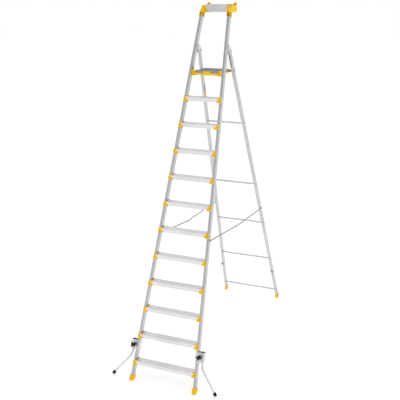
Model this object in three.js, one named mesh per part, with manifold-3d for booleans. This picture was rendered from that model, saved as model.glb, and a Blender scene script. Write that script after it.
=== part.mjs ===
// A folding platform step ladder: eleven treads and a platform on a tapered front frame, a rungged
// rear frame hinged to it, folding stays, a tool tray on top and two swivelling stabiliser legs.
// Millimetres, +Z up, +Y to the rear, +X to the right as seen from the front; it stands on z = 0.
import * as THREE from "three";
import { mergeVertices } from "three/addons/utils/BufferGeometryUtils.js";
import Module from "manifold-3d";

const wasm = await Module();
wasm.setup();

const degrees = THREE.MathUtils.degToRad;

// Driving dimensions
const STEP_COUNT = 11;
const STEP_PITCH = 235; // rise from one tread to the next, and from the last one to the platform
const FIRST_STEP = 181; // height of the first tread
const FRONT_LEAN = degrees(20.29); // from vertical
const REAR_LEAN = degrees(22.24);
const FOOT_SPAN = 638; // between the stiles' centre lines at the floor
const TOP_SPAN = 276; // between the stiles' centre lines at the tool tray
const REAR_FOOT_SPAN = 643;
const HINGE_ABOVE_PLATFORM = 170;
const TRAY_ABOVE_PLATFORM = 523; // underside of the tool tray
const CLEARANCE = 0.3; // gap between pieces that touch

const STILE = { width: 24, depth: 50, wall: 2, corner: 3 };
const REAR_LEG = { width: 21, depth: 48, wall: 2, corner: 3 };
const HINGE_SETBACK = 70; // pivot behind the stile's rear face
const TREAD = { depth: 85, lip: 38, rear: 26, sheet: 3, nosing: 8, flange: 12 };
const BRACKET = { height: 50, sheet: 3, drop: 19.4, lobe: 22, waist: 10 };
const RUNG_RADIUS = 9;
const RUNG_DISTANCES = [786, 1531, 2049, 2566, 3045]; // down the rear leg from the hinge
const HINGE = { sheet: 3, rise: 50, drop: 22, lap: 23, pin: 5, head: 2.5 };
const PLATFORM = { width: 266, depth: 263, frame: 41, deck: 26, rim: 4, pivotDrop: 17, rod: 6 };
const REST = { ledge: 5, reach: 22, rise: 4, gap: 1.5 };
const STAY = { width: 14, sheet: 3, frontHeight: 1298, rearHeight: 1227, dip: 28, hole: 4 };
const STAY_GAP = { frame: 0.4, joint: 2.65 }; // beside stile or leg, and between the two links
const TRAY = { height: 66, panel: 74, depth: 142, length: 211, wall: 3, cap: 45, setback: 34, recess: 2 };
const COLLAR = { wall: 4, length: 30 };
const HORN = { rise: 26, thick: 6 };
const FOOT = { wall: 4.5, height: 58, toe: 3, heel: 26, sole: 25 };
const REAR_FOOT = { wall: 4, front: 48, rear: 64, corner: 22, sole: 19 };
const CLAMP = { sheet: 3, bottom: 272, height: 91, reach: 63.5 };
const LEG = { radius: 10, offset: 50, bend: 223, curve: 38, splay: 35, top: 3, lift: 2 };
const BUSH = { wall: 2, fit: 0.3 };
const LEG_FOOT = { radius: 15, length: 32 };
const LEG_CAP = { rise: 5 };
const KNOB = { radius: 25, thick: 15, arm: 11, arms: 4, hub: 10, offset: 30, bolt: 4, stand: 27 };
const HOOK = { sheet: 4, height: 26, distance: 2740, reach: 12, forward: 30, drop: 36, bar: 9 };

// Heights and lines worked out from them
const PLATFORM_HEIGHT = FIRST_STEP + STEP_COUNT * STEP_PITCH;
const HINGE_HEIGHT = PLATFORM_HEIGHT + HINGE_ABOVE_PLATFORM;
const TRAY_HEIGHT = PLATFORM_HEIGHT + TRAY_ABOVE_PLATFORM;
const alongFront = (height) => height / Math.cos(FRONT_LEAN); // up the front frame's own plane
const TAPER = Math.atan((FOOT_SPAN - TOP_SPAN) / 2 / alongFront(TRAY_HEIGHT));
const stileCentre = (along) => FOOT_SPAN / 2 - along * Math.tan(TAPER);
const upStile = (height) => alongFront(height) / Math.cos(TAPER); // along a stile's centre line
const frontFace = (height) => height * Math.tan(FRONT_LEAN); // y of the stiles' front faces
const depthInY = (depth) => depth / Math.cos(FRONT_LEAN);

const HINGE_Y = frontFace(HINGE_HEIGHT) + depthInY(STILE.depth + HINGE_SETBACK);
const HINGE_ALONG = alongFront(HINGE_HEIGHT) + (STILE.depth + HINGE_SETBACK) * Math.tan(FRONT_LEAN);
const HINGE_SPAN = stileCentre(HINGE_ALONG); // half the distance between the pivots
const REAR_LENGTH = HINGE_HEIGHT / Math.cos(REAR_LEAN); // hinge to floor in the rear frame's plane
const REAR_TAPER = Math.atan((REAR_FOOT_SPAN / 2 - HINGE_SPAN) / REAR_LENGTH);
const legCentre = (down) => HINGE_SPAN + down * Math.tan(REAR_TAPER);
const downLeg = (distance) => distance / Math.cos(REAR_TAPER);
const rearDown = (height) => (HINGE_HEIGHT - height) / Math.cos(REAR_LEAN);
const rearY = (height) => HINGE_Y + (HINGE_HEIGHT - height) * Math.tan(REAR_LEAN);

// The footprint runs from the front feet's toes to the rear feet's rounded heels.
const rounding = (lean) => Math.tan(lean) + 1 / Math.cos(lean) - 1; // lost by a radius at the floor
const TOE_Y = FOOT.toe * rounding(FRONT_LEAN) - FOOT.wall / Math.cos(FRONT_LEAN);
const HEEL_EDGE = rearY(0) + (REAR_LEG.depth / 2 + REAR_FOOT.wall) / Math.cos(REAR_LEAN);
const HEEL_Y = HEEL_EDGE - REAR_FOOT.corner * rounding(REAR_LEAN);

const FINISH = {
  aluminium: { color: 0xc9c9cb, roughness: 0.38, metalness: 0.9 },
  tread: { color: 0xd5d3d4, roughness: 0.42, metalness: 0.85 },
  yellow: { color: 0xf2b805, roughness: 0.45, metalness: 0 },
  deck: { color: 0x7c7b7d, roughness: 0.6, metalness: 0.1 },
  black: { color: 0x161616, roughness: 0.55, metalness: 0 },
  steel: { color: 0x9b9b9d, roughness: 0.35, metalness: 0.9 },
};

// ---- shapes ----

function solid(geometry) {
  const bare = geometry.index ? geometry.toNonIndexed() : geometry.clone();
  bare.deleteAttribute("normal");
  bare.deleteAttribute("uv");
  const merged = mergeVertices(bare, 1e-4);
  const vertProperties = merged.attributes.position.array;
  const triVerts = new Uint32Array(merged.index.array);
  return new wasm.Manifold(new wasm.Mesh({ numProp: 3, vertProperties, triVerts }));
}

function geometryOf(body) {
  const { vertProperties, triVerts } = body.getMesh();
  const geometry = new THREE.BufferGeometry();
  geometry.setAttribute("position", new THREE.BufferAttribute(vertProperties, 3));
  geometry.setIndex(new THREE.BufferAttribute(triVerts, 1));
  const flat = geometry.toNonIndexed();
  flat.computeVertexNormals();
  return flat;
}

const joined = (first, ...others) => others.reduce((sum, other) => sum.add(other), first);

function boxGeometry([x0, x1], [y0, y1], [z0, z1]) {
  const box = new THREE.BoxGeometry(x1 - x0, y1 - y0, z1 - z0);
  return box.translate((x0 + x1) / 2, (y0 + y1) / 2, (z0 + z1) / 2);
}

const block = (xs, ys, zs) => solid(boxGeometry(xs, ys, zs));

// A round bar along "x", "y" or "z", centred on a point.
function rodGeometry(radius, length, axis, at = [0, 0, 0], sides = 16) {
  const bar = new THREE.CylinderGeometry(radius, radius, length, sides);
  if (axis === "x") bar.rotateZ(Math.PI / 2);
  if (axis === "z") bar.rotateX(Math.PI / 2);
  return bar.translate(...at);
}

const rod = (...sizes) => solid(rodGeometry(...sizes));

// A closed outline through corners [x, y, radius], each rounded by an arc of its own radius.
function outline(corners, divisions = 2) {
  const path = new THREE.Path();
  corners.forEach(([x, y, radius = 0], i) => {
    const corner = new THREE.Vector2(x, y);
    const before = corners.at(i - 1);
    const after = corners[(i + 1) % corners.length];
    const back = new THREE.Vector2(before[0], before[1]).sub(corner).normalize();
    const ahead = new THREE.Vector2(after[0], after[1]).sub(corner).normalize();
    const half = Math.acos(back.dot(ahead)) / 2;
    const start = back.clone().multiplyScalar(radius / Math.tan(half)).add(corner);
    if (i) path.lineTo(start.x, start.y);
    else path.moveTo(start.x, start.y);
    if (!radius) return;
    const end = ahead.clone().multiplyScalar(radius / Math.tan(half)).add(corner);
    const inward = back.clone().add(ahead).normalize().multiplyScalar(radius / Math.sin(half));
    const centre = corner.clone().add(inward);
    const from = start.sub(centre).angle();
    const to = end.sub(centre).angle();
    path.absarc(centre.x, centre.y, radius, from, to, back.cross(ahead) > 0);
  });
  const points = path.getPoints(divisions);
  const apart = points.filter((p, i) => p.distanceTo(points.at(i - 1)) > 1e-3);
  return new THREE.Shape(apart);
}

const rectangle = ([x0, x1], [y0, y1], radius = 0) =>
  outline([[x0, y0, radius], [x1, y0, radius], [x1, y1, radius], [x0, y1, radius]]);

const centred = (size) => [-size / 2, size / 2];

function circle(radius, sides) {
  const turn = (i) => (i * 2 * Math.PI) / sides;
  return Array.from({ length: sides }, (_, i) => [radius * Math.cos(turn(i)), radius * Math.sin(turn(i))]);
}

// An outline in plan, raised from z0 to z1.
function upright(shape, [z0, z1]) {
  const raised = new THREE.ExtrudeGeometry(shape, { depth: z1 - z0, bevelEnabled: false });
  return solid(raised.translate(0, 0, z0));
}

// An outline drawn in y and z, as seen from the side, running from x0 to x1.
const SIDEWAYS = new THREE.Matrix4().makeBasis(
  new THREE.Vector3(0, 1, 0),
  new THREE.Vector3(0, 0, 1),
  new THREE.Vector3(1, 0, 0),
);

function sideways(shape, [x0, x1]) {
  const run = new THREE.ExtrudeGeometry(shape, { depth: x1 - x0, bevelEnabled: false });
  return solid(run.translate(0, 0, x0).applyMatrix4(SIDEWAYS));
}

// An outline drawn in x and z, as seen from the front, running from y0 to y1.
function facing(shape, [y0, y1]) {
  const run = new THREE.ExtrudeGeometry(shape, { depth: y1 - y0, bevelEnabled: false });
  return solid(run.translate(0, 0, -y1).rotateX(Math.PI / 2));
}

// An outline raised from z0 to z1 with another cut out of it all the way.
const ring = (outer, inner, [z0, z1]) =>
  upright(outer, [z0, z1]).subtract(upright(inner, [z0 - 1, z1 + 1]));

function boxTube({ width, depth, wall, corner }, zs) {
  const outer = rectangle(centred(width), centred(depth), corner);
  const rounding = corner - wall > 0.5 ? corner - wall : 0;
  const inner = rectangle(centred(width - 2 * wall), centred(depth - 2 * wall), rounding);
  return ring(outer, inner, zs);
}

// A box of the ladder's own frame, brought into a group's frame.
function inGroup(group, ...spans) {
  group.updateWorldMatrix(true, false);
  return solid(boxGeometry(...spans).applyMatrix4(group.matrixWorld.clone().invert()));
}

// ---- groups ----

const ladder = new THREE.Group();

function groupIn(parent, x, y, z) {
  const group = new THREE.Group();
  group.position.set(x, y, z);
  parent.add(group);
  return group;
}

function place(group, name, body, finish) {
  const mesh = new THREE.Mesh(geometryOf(body), new THREE.MeshStandardMaterial(FINISH[finish]));
  mesh.name = name;
  group.add(mesh);
}

const SIDES = [["left", -1], ["right", 1]];
const standing = groupIn(ladder, 0, -(TOE_Y + HEEL_Y) / 2, 0);

const frontFrame = groupIn(standing, 0, 0, 0);
frontFrame.rotation.x = -FRONT_LEAN;

const rearFrame = groupIn(standing, 0, HINGE_Y, HINGE_HEIGHT);
rearFrame.rotation.x = REAR_LEAN;

// The frame of one stile: its z runs up the stile's centre line from the floor line.
function stileGroup(side) {
  const group = groupIn(frontFrame, side * (FOOT_SPAN / 2), STILE.depth / 2, 0);
  group.rotation.y = -side * TAPER;
  return group;
}

// What carries a stile's frame into another group's frame.
function fromStile(group, side) {
  const stileFrame = stileGroup(side);
  group.updateWorldMatrix(true, false);
  stileFrame.updateWorldMatrix(true, false);
  stileFrame.removeFromParent();
  return group.matrixWorld.clone().invert().multiply(stileFrame.matrixWorld);
}

// A span of x that mirrors with the side it is on.
const spanOn = (side, from, to) => (side > 0 ? [from, to] : [-to, -from]);

// The frame of one rear leg: its z runs up the leg, with the hinge at zero.
function legGroup(side) {
  const group = groupIn(rearFrame, side * HINGE_SPAN, 0, 0);
  group.rotation.y = -side * REAR_TAPER;
  return group;
}

const BELOW_FLOOR = [[-2000, 2000], [-3000, 3000], [-500, 0]];

// ---- front frame ----

function stile(name, group) {
  const tube = boxTube(STILE, [FOOT.sole + 1, upStile(TRAY_HEIGHT) - 4]);
  const bolt = rod(STAY.hole, STILE.width + 4, "x", [0, 0, upStile(STAY.frontHeight)]);
  place(group, `stile_${name}`, tube.subtract(bolt), "aluminium");
}

// A moulded boot round the stile's end, flat on the floor, its heel rounded up to the rear.
function frontFoot(name, group) {
  const half = STILE.depth / 2 + FOOT.wall;
  const slope = Math.tan(FRONT_LEAN);
  const ground = (y) => (y + STILE.depth / 2) * slope;
  const side = outline([
    [-half, ground(-half), FOOT.toe],
    [half, ground(half), FOOT.heel],
    [half, FOOT.height, 2],
    [-half, FOOT.height, 2],
  ], 4);
  const width = STILE.width + 2 * FOOT.wall;
  const boot = sideways(side, centred(width)).subtract(inGroup(group, ...BELOW_FLOOR));
  const fit = 2 * CLEARANCE;
  const socket = rectangle(centred(STILE.width + fit), centred(STILE.depth + fit), STILE.corner);
  place(group, `front_foot_${name}`, boot.subtract(upright(socket, [FOOT.sole, 100])), "yellow");
}

// One tread, an extrusion with a deep front lip, with the moulded bracket at each of its ends.
function step(number) {
  const height = FIRST_STEP + (number - 1) * STEP_PITCH;
  const along = alongFront(height - BRACKET.drop);
  const group = groupIn(frontFrame, 0, 0, along);
  group.rotation.x = FRONT_LEAN; // level again
  const inside = stileCentre(along) - STILE.width / 2 - CLEARANCE;
  const top = BRACKET.drop;
  const front = -TREAD.nosing;
  const rear = front + TREAD.depth;
  const { sheet } = TREAD;
  const profile = outline([
    [front, top - TREAD.lip],
    [front + TREAD.flange, top - TREAD.lip],
    [front + TREAD.flange, top - TREAD.lip + sheet],
    [front + sheet, top - TREAD.lip + sheet],
    [front + sheet, top - sheet],
    [rear - sheet, top - sheet],
    [rear - sheet, top - TREAD.rear + sheet],
    [rear - TREAD.flange, top - TREAD.rear + sheet],
    [rear - TREAD.flange, top - TREAD.rear],
    [rear, top - TREAD.rear],
    [rear, top],
    [front, top, 4],
  ], 1);
  const plank = sideways(profile, centred(2 * (inside - BRACKET.sheet)));
  const brackets = SIDES.map(([, side]) => stepBracket(group, side, along, front, rear, inside));
  place(group, `step_${String(number).padStart(2, "0")}`, joined(plank, ...brackets), "tread");
}

// A moulded bracket: a plate along the tread's end that wraps the stile's front and rear faces.
function stepBracket(group, side, along, front, rear, inside) {
  const { sheet, height, lobe, waist } = BRACKET;
  const at = along / Math.cos(TAPER);
  const halfDepth = STILE.depth / 2 + CLEARANCE;
  const outer = STILE.width / 2;
  const inner = -outer - CLEARANCE;
  const half = height / 2;
  const zs = [at - half, at + half];
  // The front plate has two lobes that reach in over the tread's lip, with a waist between them.
  const lobes = outline([
    [outer - 3, half, 3],
    [-outer - lobe, half, 9],
    [-outer - lobe, 3, 8],
    [-outer - waist, 0],
    [-outer - lobe, -3, 8],
    [-outer - lobe, -half, 9],
    [outer - 3, -half, 3],
  ].map(([x, z, r]) => [side * x, at + z, r]));
  const faces = [
    facing(lobes, [-halfDepth - TREAD.nosing, -halfDepth]),
    block(spanOn(side, inner - sheet, inner), [-halfDepth - sheet, halfDepth + sheet], zs),
    block(spanOn(side, inner - sheet, outer), [halfDepth, halfDepth + sheet], zs),
  ];
  const wrap = solid(geometryOf(joined(...faces)).applyMatrix4(fromStile(group, side)));
  // The end plate reaches past the stile to the tread's rear edge.
  const top = BRACKET.drop + 2;
  const low = top - TREAD.rear - 6;
  const reach = rectangle([front + 6, rear + 2], [low, top]);
  const drop = Math.tan(TAPER) * (top + TREAD.depth * Math.sin(FRONT_LEAN)) + CLEARANCE;
  return wrap.add(sideways(reach, spanOn(side, inside - sheet - 4, inside - drop)));
}

// A U-shaped hinge bracket: two cheeks riveted to the stile's sides that carry the pivot pin.
function hingeBracket(name, group) {
  const at = HINGE_ALONG / Math.cos(TAPER);
  const face = STILE.depth / 2;
  const pivot = face + HINGE_SETBACK;
  const { sheet, rise, drop, lap } = HINGE;
  const cheek = outline([
    [face - lap, at - 6, 4],
    [pivot - 15, at - drop, 8],
    [pivot + 20, at - drop + 2, 16],
    [pivot + 22, at + 12, 14],
    [pivot - 35, at + rise - 5, 10],
    [face - 5, at + rise, 6],
    [face - lap, at + rise - 4, 4],
  ], 3);
  const inner = STILE.width / 2 + CLEARANCE;
  const cheeks = [sideways(cheek, [inner, inner + sheet]), sideways(cheek, [-inner - sheet, -inner])];
  const web = [face + CLEARANCE, face + CLEARANCE + sheet];
  const back = block(centred(2 * inner), web, [at + 4, at + rise - 8]);
  const ease = 2 * CLEARANCE + (STILE.width / 2 + sheet) * Math.tan(TAPER);
  const bore = rod(HINGE.pin + ease, 60, "x", [0, pivot, at]);
  place(group, `hinge_bracket_${name}`, joined(...cheeks, back).subtract(bore), "aluminium");
}

// The pivot pin, headed on both sides of the bracket.
function hingePin(name, side) {
  const group = groupIn(standing, side * HINGE_SPAN, HINGE_Y, HINGE_HEIGHT);
  const tilt = (HINGE.pin + 4) * Math.tan(TAPER);
  const outer = STILE.width / 2 + 2 * CLEARANCE + HINGE.sheet + tilt;
  const shank = rod(HINGE.pin, 2 * outer, "x");
  const heads = [-1, 1].map((end) =>
    rod(HINGE.pin + 4, HINGE.head, "x", [end * (outer + HINGE.head / 2), 0, 0]));
  place(group, `hinge_pin_${name}`, joined(shank, ...heads), "steel");
}

// A moulded rest on the stile's inner face: a side guide and a ledge under the platform's edge.
function platformRest(name, side) {
  const low = PLATFORM_HEIGHT - PLATFORM.frame - REST.ledge - 1;
  const height = REST.rise + PLATFORM.frame + REST.ledge + 1;
  const group = groupIn(standing, 0, platformFront(), low);
  const guide = PLATFORM.width / 2 + REST.gap;
  const wall = stileCentre(alongFront(low)) + 10;
  const rest = joined(
    block(spanOn(side, guide, wall), [0, 34], [0, height]),
    block(spanOn(side, guide - REST.reach, wall), [0, 34], [0, REST.ledge]),
  );
  const face = spanOn(side, -STILE.width / 2 - CLEARANCE, 40);
  const beyond = boxGeometry(face, centred(4 * STILE.depth), [0, upStile(TRAY_HEIGHT)]);
  const cut = solid(beyond.applyMatrix4(fromStile(group, side)));
  place(group, `platform_rest_${name}`, rest.subtract(cut), "yellow");
}

const pivotY = () => rearY(PLATFORM_HEIGHT - PLATFORM.pivotDrop);
const platformFront = () => pivotY() - PLATFORM.depth;

// ---- tool tray ----

const TRAY_Y = frontFace(TRAY_HEIGHT + TRAY.height / 2) + TRAY.setback;

function toolTray() {
  const group = groupIn(standing, 0, TRAY_Y, TRAY_HEIGHT);
  const { wall, panel, depth, length, recess } = TRAY;
  const shell = outline([
    [recess, 4],
    [depth - 4, 4],
    [depth - 4, panel],
    [depth - 8 - wall, panel],
    [depth - 8 - wall, panel - 3],
    [depth - 4 - wall, panel - 3],
    [depth - 4 - wall, 4 + wall],
    [recess + wall, 4 + wall],
    [recess + wall, panel - 3],
    [recess + 4 + wall, panel - 3],
    [recess + 4 + wall, panel],
    [recess, panel],
  ]);
  place(group, "tool_tray", sideways(shell, centred(length - 2 * CLEARANCE)), "tread");
}

// A moulded end of the tray: its well, a raised horn at the rear, and a collar round the stile.
function trayCap(name, side) {
  const group = groupIn(standing, 0, TRAY_Y, TRAY_HEIGHT);
  const { wall, height, depth, length, cap } = TRAY;
  const inner = length / 2;
  const outer = inner + cap;
  const sideView = outline([[0, 0, 4], [depth, 0, 30], [depth, height, 4], [0, height, 4]], 4);
  const hollow = outline([
    [wall + 1, 5, 3],
    [depth - wall - 1, 5, 26],
    [depth - wall - 1, height + 20],
    [wall + 1, height + 20],
  ], 4);
  const rearHorn = outline([
    [inner, height - 12],
    [outer, height - 12],
    [outer, height + HORN.rise, 9],
    [outer - 17, height + HORN.rise, 9],
    [inner, height + 1],
  ].map(([x, z, r]) => [side * x, z, r]), 4);
  const well = sideways(hollow, spanOn(side, inner - 1, outer - wall - 1));
  const body = sideways(sideView, spanOn(side, inner, outer))
    .subtract(well)
    .add(facing(rearHorn, [depth - HORN.thick, depth]));
  const toGroup = fromStile(group, side);
  const top = upStile(TRAY_HEIGHT);
  const sleeveX = centred(STILE.width + 2 * COLLAR.wall);
  const sleeveY = centred(STILE.depth + 2 * COLLAR.wall);
  const sleeve = boxGeometry(sleeveX, sleeveY, [top - COLLAR.length, top + 22]).applyMatrix4(toGroup);
  const fit = 2 * CLEARANCE;
  const stileX = centred(STILE.width + fit);
  const stileY = centred(STILE.depth + fit);
  const socket = boxGeometry(stileX, stileY, [top - 200, top - 3]).applyMatrix4(toGroup);
  const collar = solid(sleeve).subtract(well);
  place(group, `tray_cap_${name}`, body.add(collar).subtract(solid(socket)), "yellow");
}

// ---- rear frame ----

function rearLeg(name, group) {
  const top = REAR_LEG.depth / 2;
  const bottom = -downLeg(REAR_LENGTH) + REAR_FOOT.sole + 1;
  const half = REAR_LEG.depth / 2;
  const rounded = outline([
    [-half, bottom - 10],
    [half, bottom - 10],
    [half, top, half - 0.5],
    [-half, top, half - 0.5],
  ], 4);
  const width = centred(REAR_LEG.width + 2);
  // The rungs and pins run level through a leg that splays, so their holes are eased.
  const ease = 2 * CLEARANCE + (REAR_LEG.width / 2) * Math.tan(REAR_TAPER);
  let body = boxTube(REAR_LEG, [bottom, top]).intersect(sideways(rounded, width));
  const bores = [rod(HINGE.pin + ease, 40, "x")];
  RUNG_DISTANCES.forEach((distance) => {
    bores.push(rod(RUNG_RADIUS + ease, 40, "x", [0, 0, -downLeg(distance)]));
  });
  const pivotDistance = rearDown(PLATFORM_HEIGHT - PLATFORM.pivotDrop);
  bores.push(rod(PLATFORM.rod + ease, 40, "x", [0, 0, -downLeg(pivotDistance)]));
  bores.push(rod(STAY.hole, 40, "x", [0, 0, -downLeg(rearDown(STAY.rearHeight))]));
  bores.forEach((bore) => (body = body.subtract(bore)));
  place(group, `rear_leg_${name}`, body, "aluminium");
}

// A round tube rung that runs through both legs.
function rearRung(number, distance) {
  const group = groupIn(rearFrame, 0, 0, -distance);
  const reach = legCentre(distance) + REAR_LEG.width / 2 + 2;
  const tube = rod(RUNG_RADIUS, 2 * reach, "x").subtract(rod(RUNG_RADIUS - 1.6, 2 * reach + 2, "x"));
  place(group, `rear_rung_${number}`, tube, "aluminium");
}

// A cupped boot with a round underside, standing higher behind the leg than in front of it.
function rearFoot(name, group) {
  const half = REAR_LEG.depth / 2 + REAR_FOOT.wall;
  const bottom = -downLeg(REAR_LENGTH);
  const slope = Math.tan(REAR_LEAN);
  const side = outline([
    [-half, bottom + half * slope, REAR_FOOT.corner],
    [half, bottom - half * slope, REAR_FOOT.corner],
    [half, bottom + REAR_FOOT.rear, 3],
    [half - 16, bottom + REAR_FOOT.rear, 3],
    [-4, bottom + REAR_FOOT.front],
    [-half, bottom + REAR_FOOT.front],
  ], 5);
  const width = REAR_LEG.width + 2 * REAR_FOOT.wall;
  const boot = sideways(side, centred(width)).subtract(inGroup(group, ...BELOW_FLOOR));
  const fit = 2 * CLEARANCE;
  const socket = rectangle(centred(REAR_LEG.width + fit), centred(REAR_LEG.depth + fit), 2);
  const opening = upright(socket, [bottom + REAR_FOOT.sole, bottom + 100]);
  place(group, `rear_foot_${name}`, boot.subtract(opening), "yellow");
}

// A bent hook that catches the stabiliser's tube when the ladder is shut.
function transportHook(name, group, side) {
  const at = -downLeg(HOOK.distance);
  const front = -REAR_LEG.depth / 2 - CLEARANCE;
  const out = REAR_LEG.width / 2;
  const { sheet, height, reach, forward, drop, bar } = HOOK;
  const zs = centred(height).map((z) => at + z);
  const tab = block(spanOn(side, 3 - out, out + reach), [front - sheet, front], zs);
  const arm = outline([
    [front, at + bar / 2],
    [front - forward, at + bar - drop],
    [front - forward, at - drop, 2],
    [front - forward + sheet, at - drop, 2],
    [front, at - bar / 2],
  ]);
  const hook = tab.add(sideways(arm, spanOn(side, out + reach - sheet, out + reach)));
  place(group, `transport_hook_${name}`, hook, "steel");
}

// ---- platform ----

function platform() {
  const group = groupIn(standing, 0, platformFront(), PLATFORM_HEIGHT);
  const { width, depth, frame, deck, rim } = PLATFORM;
  const half = width / 2;
  const rear = depth + 12;
  // The moulded frame: a shallow open box with raised corners and a finger grip in front.
  const tray = block([-half, half], [0, rear], [-frame, -deck + 6]);
  const well = block([-half + rim, half - rim], [rim, rear - rim], [-frame + 14, 20]);
  const light = block([-half + 24, half - 24], [24, depth - 24], [-frame - 5, 20]);
  const wedge = outline([[80, -frame - 1], [rear + 1, -frame - 1], [rear + 1, 5 - frame / 1.2]]);
  const slope = sideways(wedge, [-half, half]);
  const corners = SIDES.map(([, side]) => block(spanOn(side, half - 13, half), [0, 14], [-frame, REST.rise]));
  const grip = facing(outline([[-42, -frame], [42, -frame], [34, -5, 2], [-34, -5, 2]]), [0, 6]);
  const cheeks = SIDES.map(([, side]) => {
    const ear = outline([
      [depth - 46, 4 - frame],
      [rear, 7 - frame, 6],
      [rear, -4, 8],
      [depth - 30, -4, 3],
    ], 4);
    return sideways(ear, spanOn(side, half - 6, half));
  });
  const rodBore = rod(PLATFORM.rod + CLEARANCE, width + 20, "x", [0, depth, -PLATFORM.pivotDrop]);
  const shell = tray.subtract(well).subtract(light);
  const body = joined(shell, ...corners, grip, ...cheeks).subtract(slope).subtract(rodBore);
  place(group, "platform_frame", body, "yellow");

  // The deck: a ribbed plate with turned-down aprons that sits inside the frame.
  const inset = rim + 3 + CLEARANCE;
  const edge = depth + 3;
  const plate = block([-half + inset, half - inset], [7, edge], [-deck, 0]);
  const under = block([-half + inset + 4, half - inset - 4], [11, edge + 1], [-deck - 1, -4]);
  const overRod = block([-half, half], [depth - 12, edge + 1], [-deck - 1, -4]);
  const groove = (i) => block([-half + 24, half - 24], [22 + i * 14, 26 + i * 14], [-1.5, 1]);
  let top = plate.subtract(under).subtract(overRod);
  for (let i = 0; i < 16; i += 1) top = top.subtract(groove(i));
  SIDES.forEach(([, side]) => {
    const post = block(spanOn(side, half - 13 - CLEARANCE, half), [0, 14 + CLEARANCE], [-deck - 1, 1]);
    top = top.subtract(post);
  });
  place(group, "platform_deck", top, "deck");

  // The rod it turns on, through both rear legs, with a shoulder at each leg's inner face.
  const pivot = groupIn(standing, 0, pivotY(), PLATFORM_HEIGHT - PLATFORM.pivotDrop);
  const down = rearDown(PLATFORM_HEIGHT - PLATFORM.pivotDrop);
  const reach = legCentre(down) + REAR_LEG.width / 2;
  const bar = rod(PLATFORM.rod, 2 * reach + 4, "x");
  const heads = SIDES.map(([, side]) => rod(PLATFORM.rod + 3, 4, "x", [side * (reach + 3.4), 0, 0]));
  const collars = SIDES.map(([, side]) => {
    const from = half + 1;
    const to = legCentre(down) - REAR_LEG.width / 2 - 1;
    return rod(PLATFORM.rod + 4, to - from, "x", [side * ((from + to) / 2), 0, 0]);
  });
  place(pivot, "platform_rod", joined(bar, ...heads, ...collars), "steel");
}

// ---- folding stays ----

// Each stay is two links; their middle joint dips below the straight line to lock. The links differ
// by as much as their ends differ in distance from the hinge, so they fold up between the frames.
function stayPoints() {
  const front = new THREE.Vector2(
    frontFace(STAY.frontHeight) + depthInY(STILE.depth / 2) * Math.cos(FRONT_LEAN) ** 2,
    STAY.frontHeight - depthInY(STILE.depth / 2) * Math.sin(FRONT_LEAN) * Math.cos(FRONT_LEAN),
  );
  const rear = new THREE.Vector2(rearY(STAY.rearHeight), STAY.rearHeight);
  const along = rear.clone().sub(front);
  const across = new THREE.Vector2(along.y, -along.x).normalize();
  const offset = rearDown(STAY.rearHeight) - (HINGE_ALONG - alongFront(STAY.frontHeight));
  const share = (1 - offset / along.length()) / 2;
  const middle = front.clone().addScaledVector(along, share).addScaledVector(across, STAY.dip);
  return { front, rear, middle };
}

function link(from, to) {
  const run = to.clone().sub(from);
  const length = run.length();
  const half = STAY.width / 2;
  const end = half - 0.1;
  const bar = outline([
    [-half, -half, end],
    [length + half, -half, end],
    [length + half, half, end],
    [-half, half, end],
  ], 4);
  return { bar, length, angle: run.angle() };
}

function linkGroup(frame, at, angle) {
  const group = groupIn(frame, 0, 0, at);
  group.rotation.x = angle;
  group.updateWorldMatrix(true, false);
  return group;
}

function stays(name, side, stileFrame, legFrame) {
  const { front, rear, middle } = stayPoints();
  const frontLink = link(front, middle);
  const rearLink = link(rear, middle);
  const frontAt = upStile(STAY.frontHeight);
  const rearAt = -downLeg(rearDown(STAY.rearHeight));
  const frontGroup = linkGroup(stileFrame, frontAt, frontLink.angle + FRONT_LEAN);
  const rearGroup = linkGroup(legFrame, rearAt, rearLink.angle - REAR_LEAN);
  // The front link lies beside the stile. The rear one passes outside it at their joint, clear of its leg.
  const frontFace = STILE.width / 2 + STAY_GAP.frame;
  const frontEnd = new THREE.Vector3(side * (frontFace + STAY.sheet), frontLink.length, 0);
  const rearEnd = new THREE.Vector3(0, rearLink.length, 0);
  const apart = frontGroup.localToWorld(frontEnd).x - rearGroup.localToWorld(rearEnd).x;
  const rearFace = Math.max(side * apart + STAY_GAP.joint, REAR_LEG.width / 2 + STAY_GAP.frame);
  const frontBar = sideways(frontLink.bar, spanOn(side, frontFace, frontFace + STAY.sheet));
  const rearBar = sideways(rearLink.bar, spanOn(side, rearFace, rearFace + STAY.sheet));
  place(frontGroup, `stay_front_${name}`, frontBar, "aluminium");
  place(rearGroup, `stay_rear_${name}`, rearBar, "aluminium");
}

// ---- stabilisers ----

// A folded sheet sleeve round the stile and the leg's bush, at one height on the stile.
function stabiliserClamp(name, group, side) {
  const bottom = upStile(CLAMP.bottom);
  const { sheet, height, reach } = CLAMP;
  const inner = STILE.width / 2 + CLEARANCE;
  const halfDepth = STILE.depth / 2 + CLEARANCE;
  const outside = rectangle(spanOn(side, -inner - sheet, reach + sheet), centred(2 * (halfDepth + sheet)), 3);
  const inside = rectangle(spanOn(side, -inner, reach), centred(2 * halfDepth));
  const bolt = rod(KNOB.bolt + 0.5, 200, "y", [side * KNOB.offset, 0, bottom + height / 2]);
  const sleeve = ring(outside, inside, [bottom, bottom + height]);
  place(group, `clamp_${name}`, sleeve.subtract(bolt), "aluminium");
}

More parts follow.
